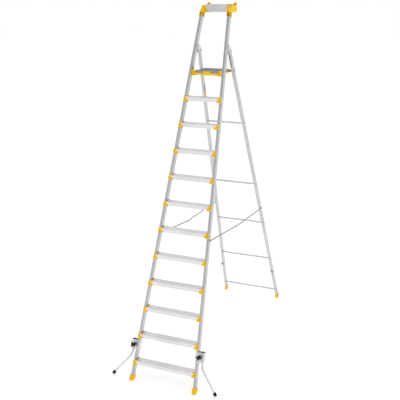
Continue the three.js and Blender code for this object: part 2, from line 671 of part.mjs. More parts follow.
// The moulded filler in the clamp that the leg's bush turns in, split by the knob's bolt.
function clampInsert(name, group, side) {
  const bottom = upStile(CLAMP.bottom) + 3;
  const inner = STILE.width / 2 + 2 * CLEARANCE;
  const halfDepth = STILE.depth / 2 - CLEARANCE;
  const radius = LEG.radius + BUSH.fit + BUSH.wall + CLEARANCE;
  const top = bottom + CLAMP.height + 1;
  const body = block(spanOn(side, inner, CLAMP.reach - CLEARANCE), [-halfDepth, halfDepth], [bottom, top])
    .subtract(rod(radius, 300, "z", [side * LEG.offset, 0, bottom]))
    .subtract(rod(KNOB.bolt + 0.5, 200, "y", [side * KNOB.offset, 0, bottom - 3 + CLAMP.height / 2]));
  place(group, `clamp_insert_${name}`, body, "black");
}

function legBush(name, group, side) {
  const bottom = upStile(CLAMP.bottom) + 4;
  const outer = LEG.radius + BUSH.fit + BUSH.wall;
  const length = CLAMP.height - 2;
  const centre = [side * LEG.offset, 0, bottom + length / 2];
  const bore = rod(LEG.radius + BUSH.fit, length + 2, "z", centre);
  place(group, `leg_bush_${name}`, rod(outer, length, "z", centre).subtract(bore), "black");
}

// The leg's line in the stile's frame: straight down beside the stile, then splayed outwards.
function legLine() {
  const splay = degrees(LEG.splay);
  const top = upStile(CLAMP.bottom) + CLAMP.height + LEG.top;
  const bend = upStile(LEG.bend);
  // The foot's rim just clears the floor.
  const down = new THREE.Vector3(Math.sin(splay + TAPER), 0, -Math.cos(splay + TAPER));
  down.applyAxisAngle(new THREE.Vector3(1, 0, 0), -FRONT_LEAN);
  const rim = LEG_FOOT.radius * Math.sqrt(1 - down.z ** 2);
  const heightOf = (x, z) => {
    const up = z * Math.cos(TAPER) - x * Math.sin(TAPER);
    return up * Math.cos(FRONT_LEAN) - (STILE.depth / 2) * Math.sin(FRONT_LEAN);
  };
  const reach = (heightOf(LEG.offset, bend) - rim - LEG.lift) / -down.z;
  return { top, bend, splay, reach };
}

function stabiliserLeg(name, group, side) {
  const { top, bend, splay, reach } = legLine();
  const tubeEnd = reach - 5;
  const round = LEG.curve; // how far the bend's curve runs each way
  // The tube is drawn for the left side, and mirrored for the right.
  const point = (along) => new THREE.Vector3(
    -LEG.offset - Math.sin(splay) * along, 0, bend - Math.cos(splay) * along);
  const start = new THREE.Vector3(-LEG.offset, 0, bend + round);
  const line = new THREE.CurvePath();
  line.add(new THREE.LineCurve3(new THREE.Vector3(-LEG.offset, 0, top), start));
  line.add(new THREE.QuadraticBezierCurve3(start, point(0), point(round)));
  line.add(new THREE.LineCurve3(point(round), point(tubeEnd)));
  const run = { steps: 18, extrudePath: line };
  const section = (radius) => outline(circle(radius, 14));
  const tube = solid(new THREE.ExtrudeGeometry(section(LEG.radius), run));
  const bore = solid(new THREE.ExtrudeGeometry(section(LEG.radius - 2), run));
  const open = tube.subtract(bore);
  place(group, `stabiliser_leg_${name}`, side > 0 ? open.mirror([1, 0, 0]) : open, "aluminium");

  const capAt = [side * LEG.offset, 0, top + CLEARANCE + LEG_CAP.rise / 2];
  place(group, `stabiliser_cap_${name}`, rod(LEG.radius + 0.5, LEG_CAP.rise, "z", capAt), "black");

  const footGroup = groupIn(group, side * LEG.offset, 0, bend);
  footGroup.rotation.y = -side * splay;
  const foot = rod(LEG_FOOT.radius, LEG_FOOT.length, "z", [0, 0, -reach + LEG_FOOT.length / 2])
    .subtract(rod(LEG.radius + CLEARANCE, 100, "z", [0, 0, -tubeEnd + 50 - CLEARANCE]));
  place(footGroup, `stabiliser_foot_${name}`, foot, "black");
}

// A four-armed clamping knob on a bolt through the clamp.
function knob(name, group, side) {
  const face = -STILE.depth / 2 - CLEARANCE - CLAMP.sheet - KNOB.stand;
  const at = upStile(CLAMP.bottom) + CLAMP.height / 2;
  const centre = groupIn(group, side * KNOB.offset, 0, at);
  let star = rod(KNOB.hub, KNOB.thick, "y", [0, face - KNOB.thick / 2, 0]);
  for (let i = 0; i < KNOB.arms; i += 1) {
    const end = KNOB.radius - KNOB.arm / 2;
    const arm = boxGeometry([0, end], centred(KNOB.thick), centred(KNOB.arm));
    const tip = rodGeometry(KNOB.arm / 2, KNOB.thick, "y", [end, 0, 0], 12);
    const turn = (i * 2 * Math.PI) / KNOB.arms + degrees(side > 0 ? 15 : 45);
    [arm, tip].forEach((piece) => {
      star = star.add(solid(piece.rotateY(turn).translate(0, face - KNOB.thick / 2, 0)));
    });
  }
  const rearFace = STILE.depth / 2 + CLEARANCE + CLAMP.sheet + 4;
  const bolt = rod(KNOB.bolt, rearFace - face + 2, "y", [0, (rearFace + face - 2) / 2, 0]);
  const collar = rod(8, KNOB.stand - 1, "y", [0, face + (KNOB.stand - 1) / 2, 0]);
  place(centre, `knob_${name}`, joined(star, bolt, collar), "black");
}

// ---- assembly ----

for (const [name, side] of SIDES) {
  const stileFrame = stileGroup(side);
  stile(name, stileFrame);
  frontFoot(name, stileFrame);
  hingeBracket(name, stileFrame);
  hingePin(name, side);
  platformRest(name, side);
  trayCap(name, side);
  stabiliserClamp(name, stileFrame, side);
  clampInsert(name, stileFrame, side);
  legBush(name, stileFrame, side);
  stabiliserLeg(name, stileFrame, side);
  knob(name, stileFrame, side);

  const legFrame = legGroup(side);
  rearLeg(name, legFrame);
  rearFoot(name, legFrame);
  transportHook(name, legFrame, side);
  stays(name, side, stileFrame, legFrame);
}
for (let number = 1; number <= STEP_COUNT; number += 1) step(number);
RUNG_DISTANCES.forEach((distance, i) => rearRung(i + 1, distance));
toolTray();
platform();

export default ladder;
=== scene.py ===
"""A folding aluminium step ladder: tapered front frame with eleven treads, rungged rear frame,
yellow moulded fittings, a platform, a tool tray and two swivelling stabiliser legs."""

import math

import bmesh
import bpy
from mathutils import Matrix, Vector


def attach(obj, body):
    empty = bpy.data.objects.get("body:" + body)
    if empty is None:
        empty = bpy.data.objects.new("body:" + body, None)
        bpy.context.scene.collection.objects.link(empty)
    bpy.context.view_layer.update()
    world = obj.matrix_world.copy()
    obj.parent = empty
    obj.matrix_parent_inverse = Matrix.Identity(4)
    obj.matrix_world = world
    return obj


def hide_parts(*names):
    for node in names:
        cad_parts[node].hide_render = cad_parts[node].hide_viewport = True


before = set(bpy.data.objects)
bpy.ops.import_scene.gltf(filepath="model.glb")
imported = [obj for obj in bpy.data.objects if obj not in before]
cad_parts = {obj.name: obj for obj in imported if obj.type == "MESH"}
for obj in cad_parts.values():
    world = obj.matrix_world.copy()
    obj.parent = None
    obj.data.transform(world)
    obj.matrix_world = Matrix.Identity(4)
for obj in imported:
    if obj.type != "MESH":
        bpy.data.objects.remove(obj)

bl_info = {
    "name": "Platform Step Ladder",
    "version": (1, 0, 0),
    "blender": (4, 5, 0),
    "location": "View3D > Sidebar > Ladder",
    "description": "Builds a folding aluminium step ladder on its CAD frame",
    "category": "Add Mesh",
}

MM = 0.001
SIDES = (("left", -1), ("right", 1))

# Rungs and transport hooks, by their distance down the rear frame from the hinges.
RUNGS = (786, 1531, 2049, 2566, 3045)
HOOKS = 2740
# Heights of the stays' two ends.
STAY_FRONT, STAY_REAR = 1298, 1227
# Stabiliser clamps: the lower edge's height, and the height and reach of the sleeve.
CLAMP_AT, CLAMP_HEIGHT, CLAMP_REACH = 272, 91, 63.5
# How far the stabiliser tubes and the clamp bolts stand out from the stiles' centre lines.
TUBE_OUT, BOLT_OUT = 50, 30


# ---- sizes, in millimetres, worked out from the panel's values ----


class Sizes:
    """Heights, leans and frames of reference that the pieces share."""

    def __init__(self, p):
        self.front_lean = p.front_lean
        self.rear_lean = p.rear_lean
        self.pitch = p.step_pitch / MM
        self.first = p.first_step / MM
        self.count = p.step_count
        self.stile_width, self.stile_depth = 24, 50
        self.leg_width, self.leg_depth = 21, 48
        self.foot_span, self.top_span, self.rear_span = 638, 276, 643
        self.platform = self.first + self.count * self.pitch
        self.hinge = self.platform + 170
        self.tray = self.platform + 523
        self.taper = math.atan((self.foot_span - self.top_span) / 2 / self.along(self.tray))
        self.hinge_y = self.face(self.hinge) + (self.stile_depth + 70) / math.cos(self.front_lean)
        self.hinge_along = self.along(self.hinge) + (self.stile_depth + 70) * math.tan(self.front_lean)
        self.hinge_span = self.stile_centre(self.hinge_along)
        self.rear_length = self.hinge / math.cos(self.rear_lean)
        self.rear_taper = math.atan((self.rear_span / 2 - self.hinge_span) / self.rear_length)
        toe = 3 * self.rounding(self.front_lean) - 4.5 / math.cos(self.front_lean)
        heel = self.rear_y(0) + (self.leg_depth / 2 + 4) / math.cos(self.rear_lean)
        heel -= 22 * self.rounding(self.rear_lean)
        self.shift = -(toe + heel) / 2
        self.pivot_z = self.platform - 17
        self.pivot_y = self.rear_y(self.pivot_z)
        self.platform_front = self.pivot_y - 263
        self.tray_y = self.face(self.tray + 33) + 34

    @staticmethod
    def rounding(lean):
        return math.tan(lean) + 1 / math.cos(lean) - 1

    def along(self, height):
        return height / math.cos(self.front_lean)

    def up_stile(self, height):
        return self.along(height) / math.cos(self.taper)

    def face(self, height):
        return height * math.tan(self.front_lean)

    def stile_centre(self, along):
        return self.foot_span / 2 - along * math.tan(self.taper)

    def rear_y(self, height):
        return self.hinge_y + (self.hinge - height) * math.tan(self.rear_lean)

    def rear_down(self, height):
        return (self.hinge - height) / math.cos(self.rear_lean)

    def leg_centre(self, down):
        return self.hinge_span + down * math.tan(self.rear_taper)

    def down_leg(self, distance):
        return distance / math.cos(self.rear_taper)

    # Frames of reference: the ladder as it stands, one stile, one rear leg, the rear frame.
    def standing(self, x=0.0, y=0.0, z=0.0):
        return Matrix.Translation((x, y + self.shift, z))

    def front_frame(self):
        return self.standing() @ Matrix.Rotation(-self.front_lean, 4, "X")

    def stile(self, side):
        at = Matrix.Translation((side * self.foot_span / 2, self.stile_depth / 2, 0))
        return self.front_frame() @ at @ Matrix.Rotation(-side * self.taper, 4, "Y")

    def rear_frame(self):
        return self.standing(0, self.hinge_y, self.hinge) @ Matrix.Rotation(self.rear_lean, 4, "X")

    def leg(self, side):
        at = Matrix.Translation((side * self.hinge_span, 0, 0))
        return self.rear_frame() @ at @ Matrix.Rotation(-side * self.rear_taper, 4, "Y")


# ---- shapes ----


def rounded(corners, steps=5):
    """Points of a closed outline through corners (x, y, radius), each rounded by its own radius."""
    points = []
    for i, corner in enumerate(corners):
        here = Vector(corner[:2])
        radius = corner[2] if len(corner) > 2 else 0
        back = (Vector(corners[i - 1][:2]) - here).normalized()
        ahead = (Vector(corners[(i + 1) % len(corners)][:2]) - here).normalized()
        if not radius:
            points.append(here)
            continue
        half = math.acos(max(-1, min(1, back.dot(ahead)))) / 2
        start = here + back * (radius / math.tan(half))
        end = here + ahead * (radius / math.tan(half))
        centre = here + (back + ahead).normalized() * (radius / math.sin(half))
        a, b = start - centre, end - centre
        turn = math.atan2(a.x * b.y - a.y * b.x, a.dot(b))
        for k in range(steps + 1):
            angle = turn * k / steps
            c, s = math.cos(angle), math.sin(angle)
            points.append(centre + Vector((a.x * c - a.y * s, a.x * s + a.y * c)))
    return points


def rectangle(xs, ys, radius=0.0, steps=4):
    (x0, x1), (y0, y1) = xs, ys
    return rounded([(x0, y0, radius), (x1, y0, radius), (x1, y1, radius), (x0, y1, radius)], steps)


def centred(size):
    return (-size / 2, size / 2)


def span_on(side, low, high):
    """A span of x that mirrors with the side it is on."""
    return (low, high) if side > 0 else (-high, -low)


def mirrored(corners, side, dz=0.0):
    return [(side * c[0], c[1] + dz, *c[2:]) for c in corners]


class Shape:
    """Closed shells in millimetres, gathered into one mesh."""

    AXES = {
        "x": lambda u, v, w: (w, u, v),
        "y": lambda u, v, w: (u, w, v),
        "z": lambda u, v, w: (u, v, w),
    }

    def __init__(self, place=None):
        self.place = place or Matrix.Identity(4)
        self.points = []
        self.faces = []

    def add(self, points, faces):
        start = len(self.points)
        self.points += [self.place @ Vector(p) for p in points]
        self.faces += [[start + i for i in face] for face in faces]
        return self

    def prism(self, outline, span, axis="x"):
        """An outline run along an axis: drawn in y, z for x; in x, z for y; in x, y for z."""
        turn = self.AXES[axis]
        n = len(outline)
        points = [turn(p[0], p[1], w) for w in span for p in outline]
        faces = [[i, (i + 1) % n, n + (i + 1) % n, n + i] for i in range(n)]
        return self.add(points, faces + [list(range(n)), list(range(n, 2 * n))])

    def block(self, xs, ys, zs):
        return self.prism(rectangle(xs, ys), zs, "z")

    def lathe(self, profile, axis="x", at=(0, 0, 0), sides=32):
        """A profile of (radius, along) turned round an axis; it closes itself at both ends."""
        turn = self.AXES[axis]
        rings, points = [], []
        for radius, along in profile:
            if radius == 0:
                rings.append([len(points)] * sides)
                points.append(turn(0, 0, along))
                continue
            rings.append(list(range(len(points), len(points) + sides)))
            for k in range(sides):
                a = 2 * math.pi * k / sides
                points.append(turn(radius * math.cos(a), radius * math.sin(a), along))
        faces = []
        for low, high in zip(rings, rings[1:]):
            for k in range(sides):
                quad = [low[k], low[(k + 1) % sides], high[(k + 1) % sides], high[k]]
                faces.append(list(dict.fromkeys(quad)))
        for ring in (rings[0], rings[-1]):
            if len(set(ring)) > 1:
                faces.append(list(ring))
        moved = [Vector(p) + Vector(at) for p in points]
        return self.add(moved, [f for f in faces if len(f) > 2])

    def ring(self, profile, centre, sides):
        """A closed profile of (radius, along) turned round the z axis, open through its middle."""
        points, faces, n = [], [], len(profile)
        for radius, along in profile:
            for k in range(sides):
                a = 2 * math.pi * k / sides
                point = Vector((radius * math.cos(a), radius * math.sin(a), along))
                points.append(point + Vector(centre))
        for i in range(n):
            low, high = i * sides, (i + 1) % n * sides
            for k in range(sides):
                nxt = (k + 1) % sides
                faces.append([low + k, low + nxt, high + nxt, high + k])
        return self.add(points, faces)

    def sweep(self, path, radius, sides=32):
        """A round bar along a path that stays in the x, z plane."""
        points, n = [], len(path)
        for i, p in enumerate(path):
            ahead = path[min(i + 1, n - 1)] - path[max(i - 1, 0)]
            across = Vector((ahead.z, 0, -ahead.x)).normalized()
            for k in range(sides):
                a = 2 * math.pi * k / sides
                sideways = Vector((0, radius * math.sin(a), 0))
                points.append(p + across * radius * math.cos(a) + sideways)
        faces = []
        for i in range(n - 1):
            for k in range(sides):
                nxt = (k + 1) % sides
                low, high = i * sides, (i + 1) * sides
                faces.append([low + k, low + nxt, high + nxt, high + k])
        faces += [list(range(sides)), list(range((n - 1) * sides, n * sides))]
        return self.add(points, faces)


def bake(obj):
    """Turns an object's modifiers into plain mesh."""
    graph = bpy.context.evaluated_depsgraph_get()
    mesh = bpy.data.meshes.new_from_object(obj.evaluated_get(graph))
    obj.modifiers.clear()
    old = obj.data
    obj.data = mesh
    bpy.data.meshes.remove(old)


def solid(shape, name, bevel=0.0, segments=2):
    """One object at the origin from a shape, with its sharp edges rounded."""
    work = bmesh.new()
    corners = [work.verts.new(p * MM) for p in shape.points]
    for face in shape.faces:
        work.faces.new([corners[i] for i in face])
    bmesh.ops.recalc_face_normals(work, faces=work.faces)
    mesh = bpy.data.meshes.new(name)
    work.to_mesh(mesh)
    work.free()
    obj = bpy.data.objects.new(name, mesh)
    bpy.context.collection.objects.link(obj)
    round_edges(obj, bevel, segments)
    return obj


def round_edges(obj, bevel, segments=2):
    obj.data.shade_smooth()
    if not bevel:
        obj.data.set_sharp_from_angle(angle=math.radians(35))
        return
    edge = obj.modifiers.new("Edges", "BEVEL")
    edge.width = bevel * MM
    edge.segments = segments
    edge.limit_method = "ANGLE"
    edge.angle_limit = math.radians(40)
    edge.harden_normals = True
    bake(obj)


def carve(obj, cutter):
    """Cuts one closed object out of another and removes the cutter."""
    cut = obj.modifiers.new("Cut", "BOOLEAN")
    cut.operation = "DIFFERENCE"
    cut.solver = "EXACT"
    cut.object = cutter
    bake(obj)
    bpy.data.objects.remove(cutter)
    return obj


def cut_at_floor(obj):
    """Takes off whatever hangs below the floor."""
    below = Shape().block((-1000, 1000), (-3000, 3000), (-400, 0))
    return carve(obj, solid(below, "Floor_Cutter"))


def declare(obj, body, slot, look, *nodes):
    """Gives a piece its material, its moving body and the CAD nodes that it stands for."""
    obj.data.materials.clear()
    obj.data.materials.append(look)
    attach(obj, body)
    if nodes:
        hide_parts(*nodes)
    return obj


# ---- materials ----


def linear(text):
    """An sRGB hex colour as linear RGBA."""
    values = [int(text[i : i + 2], 16) / 255 for i in (1, 3, 5)]
    return [v / 12.92 if v <= 0.04045 else ((v + 0.055) / 1.055) ** 2.4 for v in values] + [1.0]


def add_node(tree, kind, inputs=None, **settings):
    """A node with its settings; an input is either a value or another node's output."""
    node = tree.nodes.new(kind)
    for key, value in settings.items():
        setattr(node, key, value)
    for key, value in (inputs or {}).items():
        if isinstance(value, bpy.types.NodeSocket):
            tree.links.new(value, node.inputs[key])
        else:
            node.inputs[key].default_value = value
    return node


# A colour Mix node's sockets: its share, its two colours and its result.
SHARE, FIRST, SECOND, MIXED = 0, 6, 7, 2


def new_surface(name, **sockets):
    """A material with its Principled shader set to constants, where an underscore is a space."""
    look = bpy.data.materials.new(name)
    look.use_nodes = True
    tree = look.node_tree
    shader = tree.nodes["Principled BSDF"]
    for key, value in sockets.items():
        shader.inputs[key.replace("_", " ")].default_value = value
    return look, tree, shader


def placed_noise(tree, stretch, tilt=0.0, detail=4.0):
    """Noise in object space, stretched along the way that the piece was drawn or brushed."""
    where = add_node(tree, "ShaderNodeTexCoord").outputs["Object"]
    mapping = {"Vector": where, "Rotation": (tilt, 0, 0), "Scale": stretch}
    turned = add_node(tree, "ShaderNodeMapping", mapping).outputs["Vector"]
    noise = {"Vector": turned, "Scale": 1.0, "Detail": detail, "Roughness": 0.55}
    return add_node(tree, "ShaderNodeTexNoise", noise).outputs["Fac"]


def weather(surface, colours, patches, roughness, wear, relief, grain):
    """Colour that varies with patches, roughness with wear and relief with grain."""
    look, tree, shader = surface
    light, dark = colours
    noise_span = {"From Min": 0.3, "From Max": 0.7}
    shade = add_node(tree, "ShaderNodeMapRange", {"Value": patches, **noise_span})
    tones = {SHARE: shade.outputs["Result"], FIRST: linear(dark), SECOND: linear(light)}
    colour = add_node(tree, "ShaderNodeMix", tones, data_type="RGBA")
    limits = dict(zip(("To Min", "To Max"), roughness))
    rough = add_node(tree, "ShaderNodeMapRange", {"Value": wear, **noise_span, **limits})
    strength, depth = relief
    bump = add_node(tree, "ShaderNodeBump", {"Height": grain, "Strength": strength, "Distance": depth})
    tree.links.new(colour.outputs[MIXED], shader.inputs["Base Color"])
    tree.links.new(rough.outputs["Result"], shader.inputs["Roughness"])
    tree.links.new(bump.outputs["Normal"], shader.inputs["Normal"])
    return look


def aluminium(name, light, dark, rough, stretch, tilt=0.0, depth=0.00006):
    """Extruded aluminium: fine die lines along its length and cloudy mill-finish patches."""
    surface = new_surface(name, Metallic=1.0)
    lines = placed_noise(surface[1], stretch, tilt)
    clouds = placed_noise(surface[1], (5, 5, 3), detail=3)
    limits = (rough - 0.03, rough + 0.03)
    return weather(surface, (light, dark), clouds, limits, lines, (0.15, depth), lines)


def moulded(name, light, dark, rough, grain=900.0, depth=0.00005):
    """Injection-moulded plastic: an even colour, a fine spark-eroded grain and faint scuffs."""
    surface = new_surface(name, IOR=1.45, Specular_IOR_Level=0.2)
    texture = placed_noise(surface[1], (grain, grain, grain), detail=2)
    scuffs = placed_noise(surface[1], (14, 14, 9), detail=6)
    limits = (rough - 0.05, rough + 0.06)
    return weather(surface, (light, dark), scuffs, limits, scuffs, (0.5, depth), texture)


def printed_label(name, paper, ink, line_pitch, low, high):
    """A self-adhesive label: rows of bars between two heights, in place of its words."""
    look, tree, shader = new_surface(name, Roughness=0.35, IOR=1.45)
    where = add_node(tree, "ShaderNodeTexCoord").outputs["Object"]
    z = add_node(tree, "ShaderNodeSeparateXYZ", {"Vector": where}).outputs["Z"]
    rows = add_node(tree, "ShaderNodeMath", {0: z, 1: line_pitch, 2: 0.0}, operation="WRAP")
    words = placed_noise(tree, (40, 90, 3), detail=2)
    tests = (
        (rows.outputs[0], "LESS_THAN", line_pitch * 0.45),
        (words, "GREATER_THAN", 0.47),
        (z, "GREATER_THAN", low),
        (z, "LESS_THAN", high),
    )
    share = 1.0
    for value, operation, limit in tests:
        test = add_node(tree, "ShaderNodeMath", {0: value, 1: limit}, operation=operation)
        both = add_node(tree, "ShaderNodeMath", {0: test.outputs[0], 1: share}, operation="MULTIPLY")
        share = both.outputs[0]
    tones = {SHARE: share, FIRST: linear(paper), SECOND: linear(ink)}
    colour = add_node(tree, "ShaderNodeMix", tones, data_type="RGBA")
    tree.links.new(colour.outputs[MIXED], shader.inputs["Base Color"])
    return look


class Looks:
    """The finishes, made once for all pieces."""

    def __init__(self, p, s):
        metal = p.metal_roughness
        # Die lines are drawn coarser than they are, about 4 mm apart, so that they show.
        along, across, even = (260, 260, 5), (5, 240, 240), (90, 90, 60)
        zinc, rivet = (120, 120, 120), (150, 150, 150)
        # Mill-finish box extrusion of the stiles, brushed along its length.
        self.stile = aluminium("Aluminium Front Stile", "#C8C8CA", "#BFBFC2", metal, along, s.front_lean)
        # The same extrusion on the rear legs, which lean the other way.
        self.leg = aluminium("Aluminium Rear Leg", "#CCCCCE", "#C2C2C5", metal, along, -s.rear_lean)
        # Treads, whose ribs and die lines run across the ladder.
        self.tread = aluminium("Aluminium Tread", "#ECEAEB", "#E2E0E2", metal + 0.06, across)
        # Folded sheet of the hinge cheeks and the clamps.
        self.sheet = aluminium("Aluminium Sheet", "#DCDCDE", "#CFCFD1", metal + 0.02, (70, 70, 40))
        # Rung tube, left as drawn and duller than the wide extrusions.
        self.rung = aluminium("Aluminium Rung Tube", "#D0D0D3", "#C0C0C3", metal + 0.08, across)
        # Flat stay bar, darker than the rung tube.
        self.bar = aluminium("Aluminium Stay Bar", "#A6A6A9", "#969699", metal + 0.08, even)
        # Ribbed extrusion of the tool tray.
        self.panel = aluminium("Aluminium Tray Panel", "#D6D4D5", "#CAC8C9", metal + 0.06, across)
        # Round tube of the stabiliser legs.
        self.tube = aluminium("Aluminium Leg Tube", "#E2E2E4", "#D6D6D8", metal + 0.12, even)
        # Bright zinc-plated steel pins and rods.
        self.zinc = aluminium("Zinc Plated Steel", "#A9A9AC", "#8E8F92", 0.32, zinc, depth=0.00003)
        # Black-coated steel hinge rivets.
        self.dark = aluminium("Blackened Steel Rivet", "#4A4A4C", "#3A3A3C", 0.45, rivet, depth=0.00003)
        # Aluminium blind rivets, a little dull.
        self.rivet = aluminium("Aluminium Rivet", "#8A8A8C", "#737376", 0.38, rivet, depth=0.00003)
        # Satin moulded yellow plastic.
        self.yellow = moulded("Yellow Moulded Plastic", p.yellow, p.yellow_dark, 0.46)
        # Satin moulded black plastic.
        self.black = moulded("Black Moulded Plastic", "#0B0B0C", "#060607", 0.5)
        # Soft black rubber-like plug, duller than the moulded black.
        self.rubber = moulded("Black Foot Plug", "#1A1A1A", "#101010", 0.68, grain=500, depth=0.0001)
        # Mid-grey ribbed platform plastic.
        self.grey = moulded("Grey Deck Plastic", "#9E9DA0", "#8B8B8E", 0.55)
        # Self-adhesive paper labels printed with plain bars.
        low, high = s.platform * MM - 0.30, s.platform * MM - 0.235
        self.yellow_label = printed_label("Yellow Paper Label", "#E8B622", "#3A3A3A", 0.008, low, high)
        low, high = low + 0.07, high + 0.07
        self.dark_label = printed_label("Dark Paper Label", "#3B3D42", "#C9C9C9", 0.009, low, high)


# ---- repeated parts, by geometry nodes ----


def new_group(name, inputs):
    """An empty geometry node group with its named inputs and one geometry output."""
    tree = bpy.data.node_groups.new(name, "GeometryNodeTree")
    tree.is_modifier = True
    sockets = {}
    for label, kind in inputs.items():
        kind = f"NodeSocket{kind}"
        sockets[label] = tree.interface.new_socket(label, in_out="INPUT", socket_type=kind)
    tree.interface.new_socket("Geometry", in_out="OUTPUT", socket_type="NodeSocketGeometry")
    return tree, sockets, tree.nodes.new("NodeGroupInput").outputs


def end_group(tree, geometry, look):
    """Realises a group's instances, gives them their finish and hands them out."""
    real = add_node(tree, "GeometryNodeRealizeInstances", {"Geometry": geometry})
    inputs = {"Geometry": real.outputs["Geometry"], "Material": look}
    finish = add_node(tree, "GeometryNodeSetMaterial", inputs)
    add_node(tree, "NodeGroupOutput", {"Geometry": finish.outputs["Geometry"]})


def rivet_nodes():
    """A node group that sets a domed rivet head on every point, along the point's own aim."""
    inputs = {"Points": "Geometry", "Radius": "Float", "Dome": "Float", "Finish": "Material"}
    tree, sockets, source = new_group("Rivets", inputs)
    ball = {"Radius": source["Radius"], "Segments": 20, "Rings": 10}
    ball = add_node(tree, "GeometryNodeMeshUVSphere", ball)
    scale = add_node(tree, "ShaderNodeCombineXYZ", {"X": 1, "Y": 1, "Z": source["Dome"]})
    flat = {"Geometry": ball.outputs["Mesh"], "Scale": scale.outputs["Vector"]}
    flat = add_node(tree, "GeometryNodeTransform", flat)
    aim = "GeometryNodeInputNamedAttribute"
    aim = add_node(tree, aim, {"Name": "aim"}, data_type="FLOAT_VECTOR").outputs["Attribute"]
    turn = add_node(tree, "FunctionNodeAlignRotationToVector", {"Vector": aim}, axis="Z")
    spots = {
        "Points": source["Points"],
        "Instance": flat.outputs["Geometry"],
        "Rotation": turn.outputs["Rotation"],
    }
    spots = add_node(tree, "GeometryNodeInstanceOnPoints", spots)
    smooth = {"Geometry": spots.outputs["Instances"]}
    smooth = add_node(tree, "GeometryNodeSetShadeSmooth", smooth)
    end_group(tree, smooth.outputs["Geometry"], source["Finish"])
    return tree, sockets


def rib_nodes():
    """A node group that lays a row of equal ribs, each a long bar, at a steady pitch."""
    inputs = {"Base": "Geometry", "Count": "Int", "Start": "Vector", "Pitch": "Vector"}
    inputs |= {"Size": "Vector", "Finish": "Material"}
    tree, sockets, source = new_group("Ribs", inputs)
    row = {"Count": source["Count"], "Start Location": source["Start"], "Offset": source["Pitch"]}
    row = add_node(tree, "GeometryNodeMeshLine", row, mode="OFFSET")
    bar = add_node(tree, "GeometryNodeMeshCube", {"Size": source["Size"]})
    spots = {"Points": row.outputs["Mesh"], "Instance": bar.outputs["Mesh"]}
    spots = add_node(tree, "GeometryNodeInstanceOnPoints", spots)
    whole = add_node(tree, "GeometryNodeJoinGeometry", {"Geometry": spots.outputs["Instances"]})
    tree.links.new(source["Base"], whole.inputs["Geometry"])
    end_group(tree, whole.outputs["Geometry"], source["Finish"])
    return tree, sockets


def run_nodes(obj, made, values):
    """Runs a node group on an object and keeps the result as plain mesh."""
    tree, sockets = made
    modifier = obj.modifiers.new(tree.name, "NODES")
    modifier.node_group = tree
    for name, value in values.items():
        modifier[sockets[name].identifier] = value
    bpy.context.view_layer.update()
    bake(obj)
    return obj


def rivets(name, spots, radius, dome, look):
    """Rivet heads at (point, direction) pairs, in millimetres as the ladder stands."""
    mesh = bpy.data.meshes.new(name)
    mesh.from_pydata([point * MM for point, _ in spots], [], [])
    aim = mesh.attributes.new("aim", "FLOAT_VECTOR", "POINT")
    for i, (_, direction) in enumerate(spots):
        aim.data[i].vector = direction
    obj = bpy.data.objects.new(name, mesh)
    bpy.context.collection.objects.link(obj)
    return run_nodes(obj, rivet_nodes(), {"Radius": radius * MM, "Dome": dome, "Finish": look})


def spot(place, point, direction):
    """A point and a direction of one frame of reference, as the ladder stands."""
    return place @ Vector(point), (place.to_3x3() @ Vector(direction)).normalized()


# ---- pieces ----


def build_stiles(s, looks):
    """Box extrusions with rounded corners, capped inside the boots and the tray's collars."""
    for name, side in SIDES:
        shape = Shape(s.stile(side))
        section = rectangle(centred(s.stile_width), centred(s.stile_depth), 3, 5)
        shape.prism(section, (26, s.up_stile(s.tray) - 4), "z")
        obj = solid(shape, f"Stile_{name}")
        declare(obj, "front_frame", "plain_aluminium", looks.stile, f"stile_{name}")


def tread_outline(top, front, rear, lip, sheet):
    """A tread's section in y and z: ridged top, deep ribbed lip in front, short flange behind."""
    ridges = []
    pitch, rise = 5.2, 1.1
    count = int((rear - front - 12) / pitch)
    for i in range(count):
        y = rear - 5 - i * pitch
        ridges += [(y, top - rise), (y - 0.5, top), (y - 2.6, top), (y - 3.1, top - rise)]
    lip_ribs = []
    for i in range(4):
        z = top - 9 - i * 7
        lip_ribs += [(front + 0.9, z), (front, z - 0.6), (front, z - 5), (front + 0.9, z - 5.6)]
    inside = [
        (front + 12, top - lip),
        (front + 12, top - lip + sheet),
        (front + sheet + 0.9, top - lip + sheet),
        (front + sheet + 0.9, top - sheet - rise),
        (rear - sheet, top - sheet - rise),
        (rear - sheet, top - 26 + sheet),
        (rear - 12, top - 26 + sheet),
        (rear - 12, top - 26),
        (rear, top - 26, 1.5),
        (rear, top - rise, 1.5),
    ]
    corners = [(front, top - lip, 1.5)] + inside + ridges + [(front, top - rise, 4)] + lip_ribs
    return rounded(corners, 3)


def step_frame(s, number):
    """A level frame of reference in the middle of one tread, and its distance up the front."""
    height = s.first + (number - 1) * s.pitch
    along = s.along(height - 19.4)
    at = s.front_frame() @ Matrix.Translation((0, 0, along))
    return at @ Matrix.Rotation(s.front_lean, 4, "X"), along


def build_treads(s, looks):
    """Ridged tread extrusions, each as long as the stiles are apart at its height."""
    for number in range(1, s.count + 1):
        place, along = step_frame(s, number)
        reach = s.stile_centre(along) - s.stile_width / 2 - 3.6
        shape = Shape(place)
        shape.prism(tread_outline(19.4, -8, 77, 38, 3), centred(2 * reach))
        name = f"step_{number:02d}"
        obj = solid(shape, f"Tread_{number:02d}")
        declare(obj, "front_frame", "ribbed_aluminium", looks.tread, name)


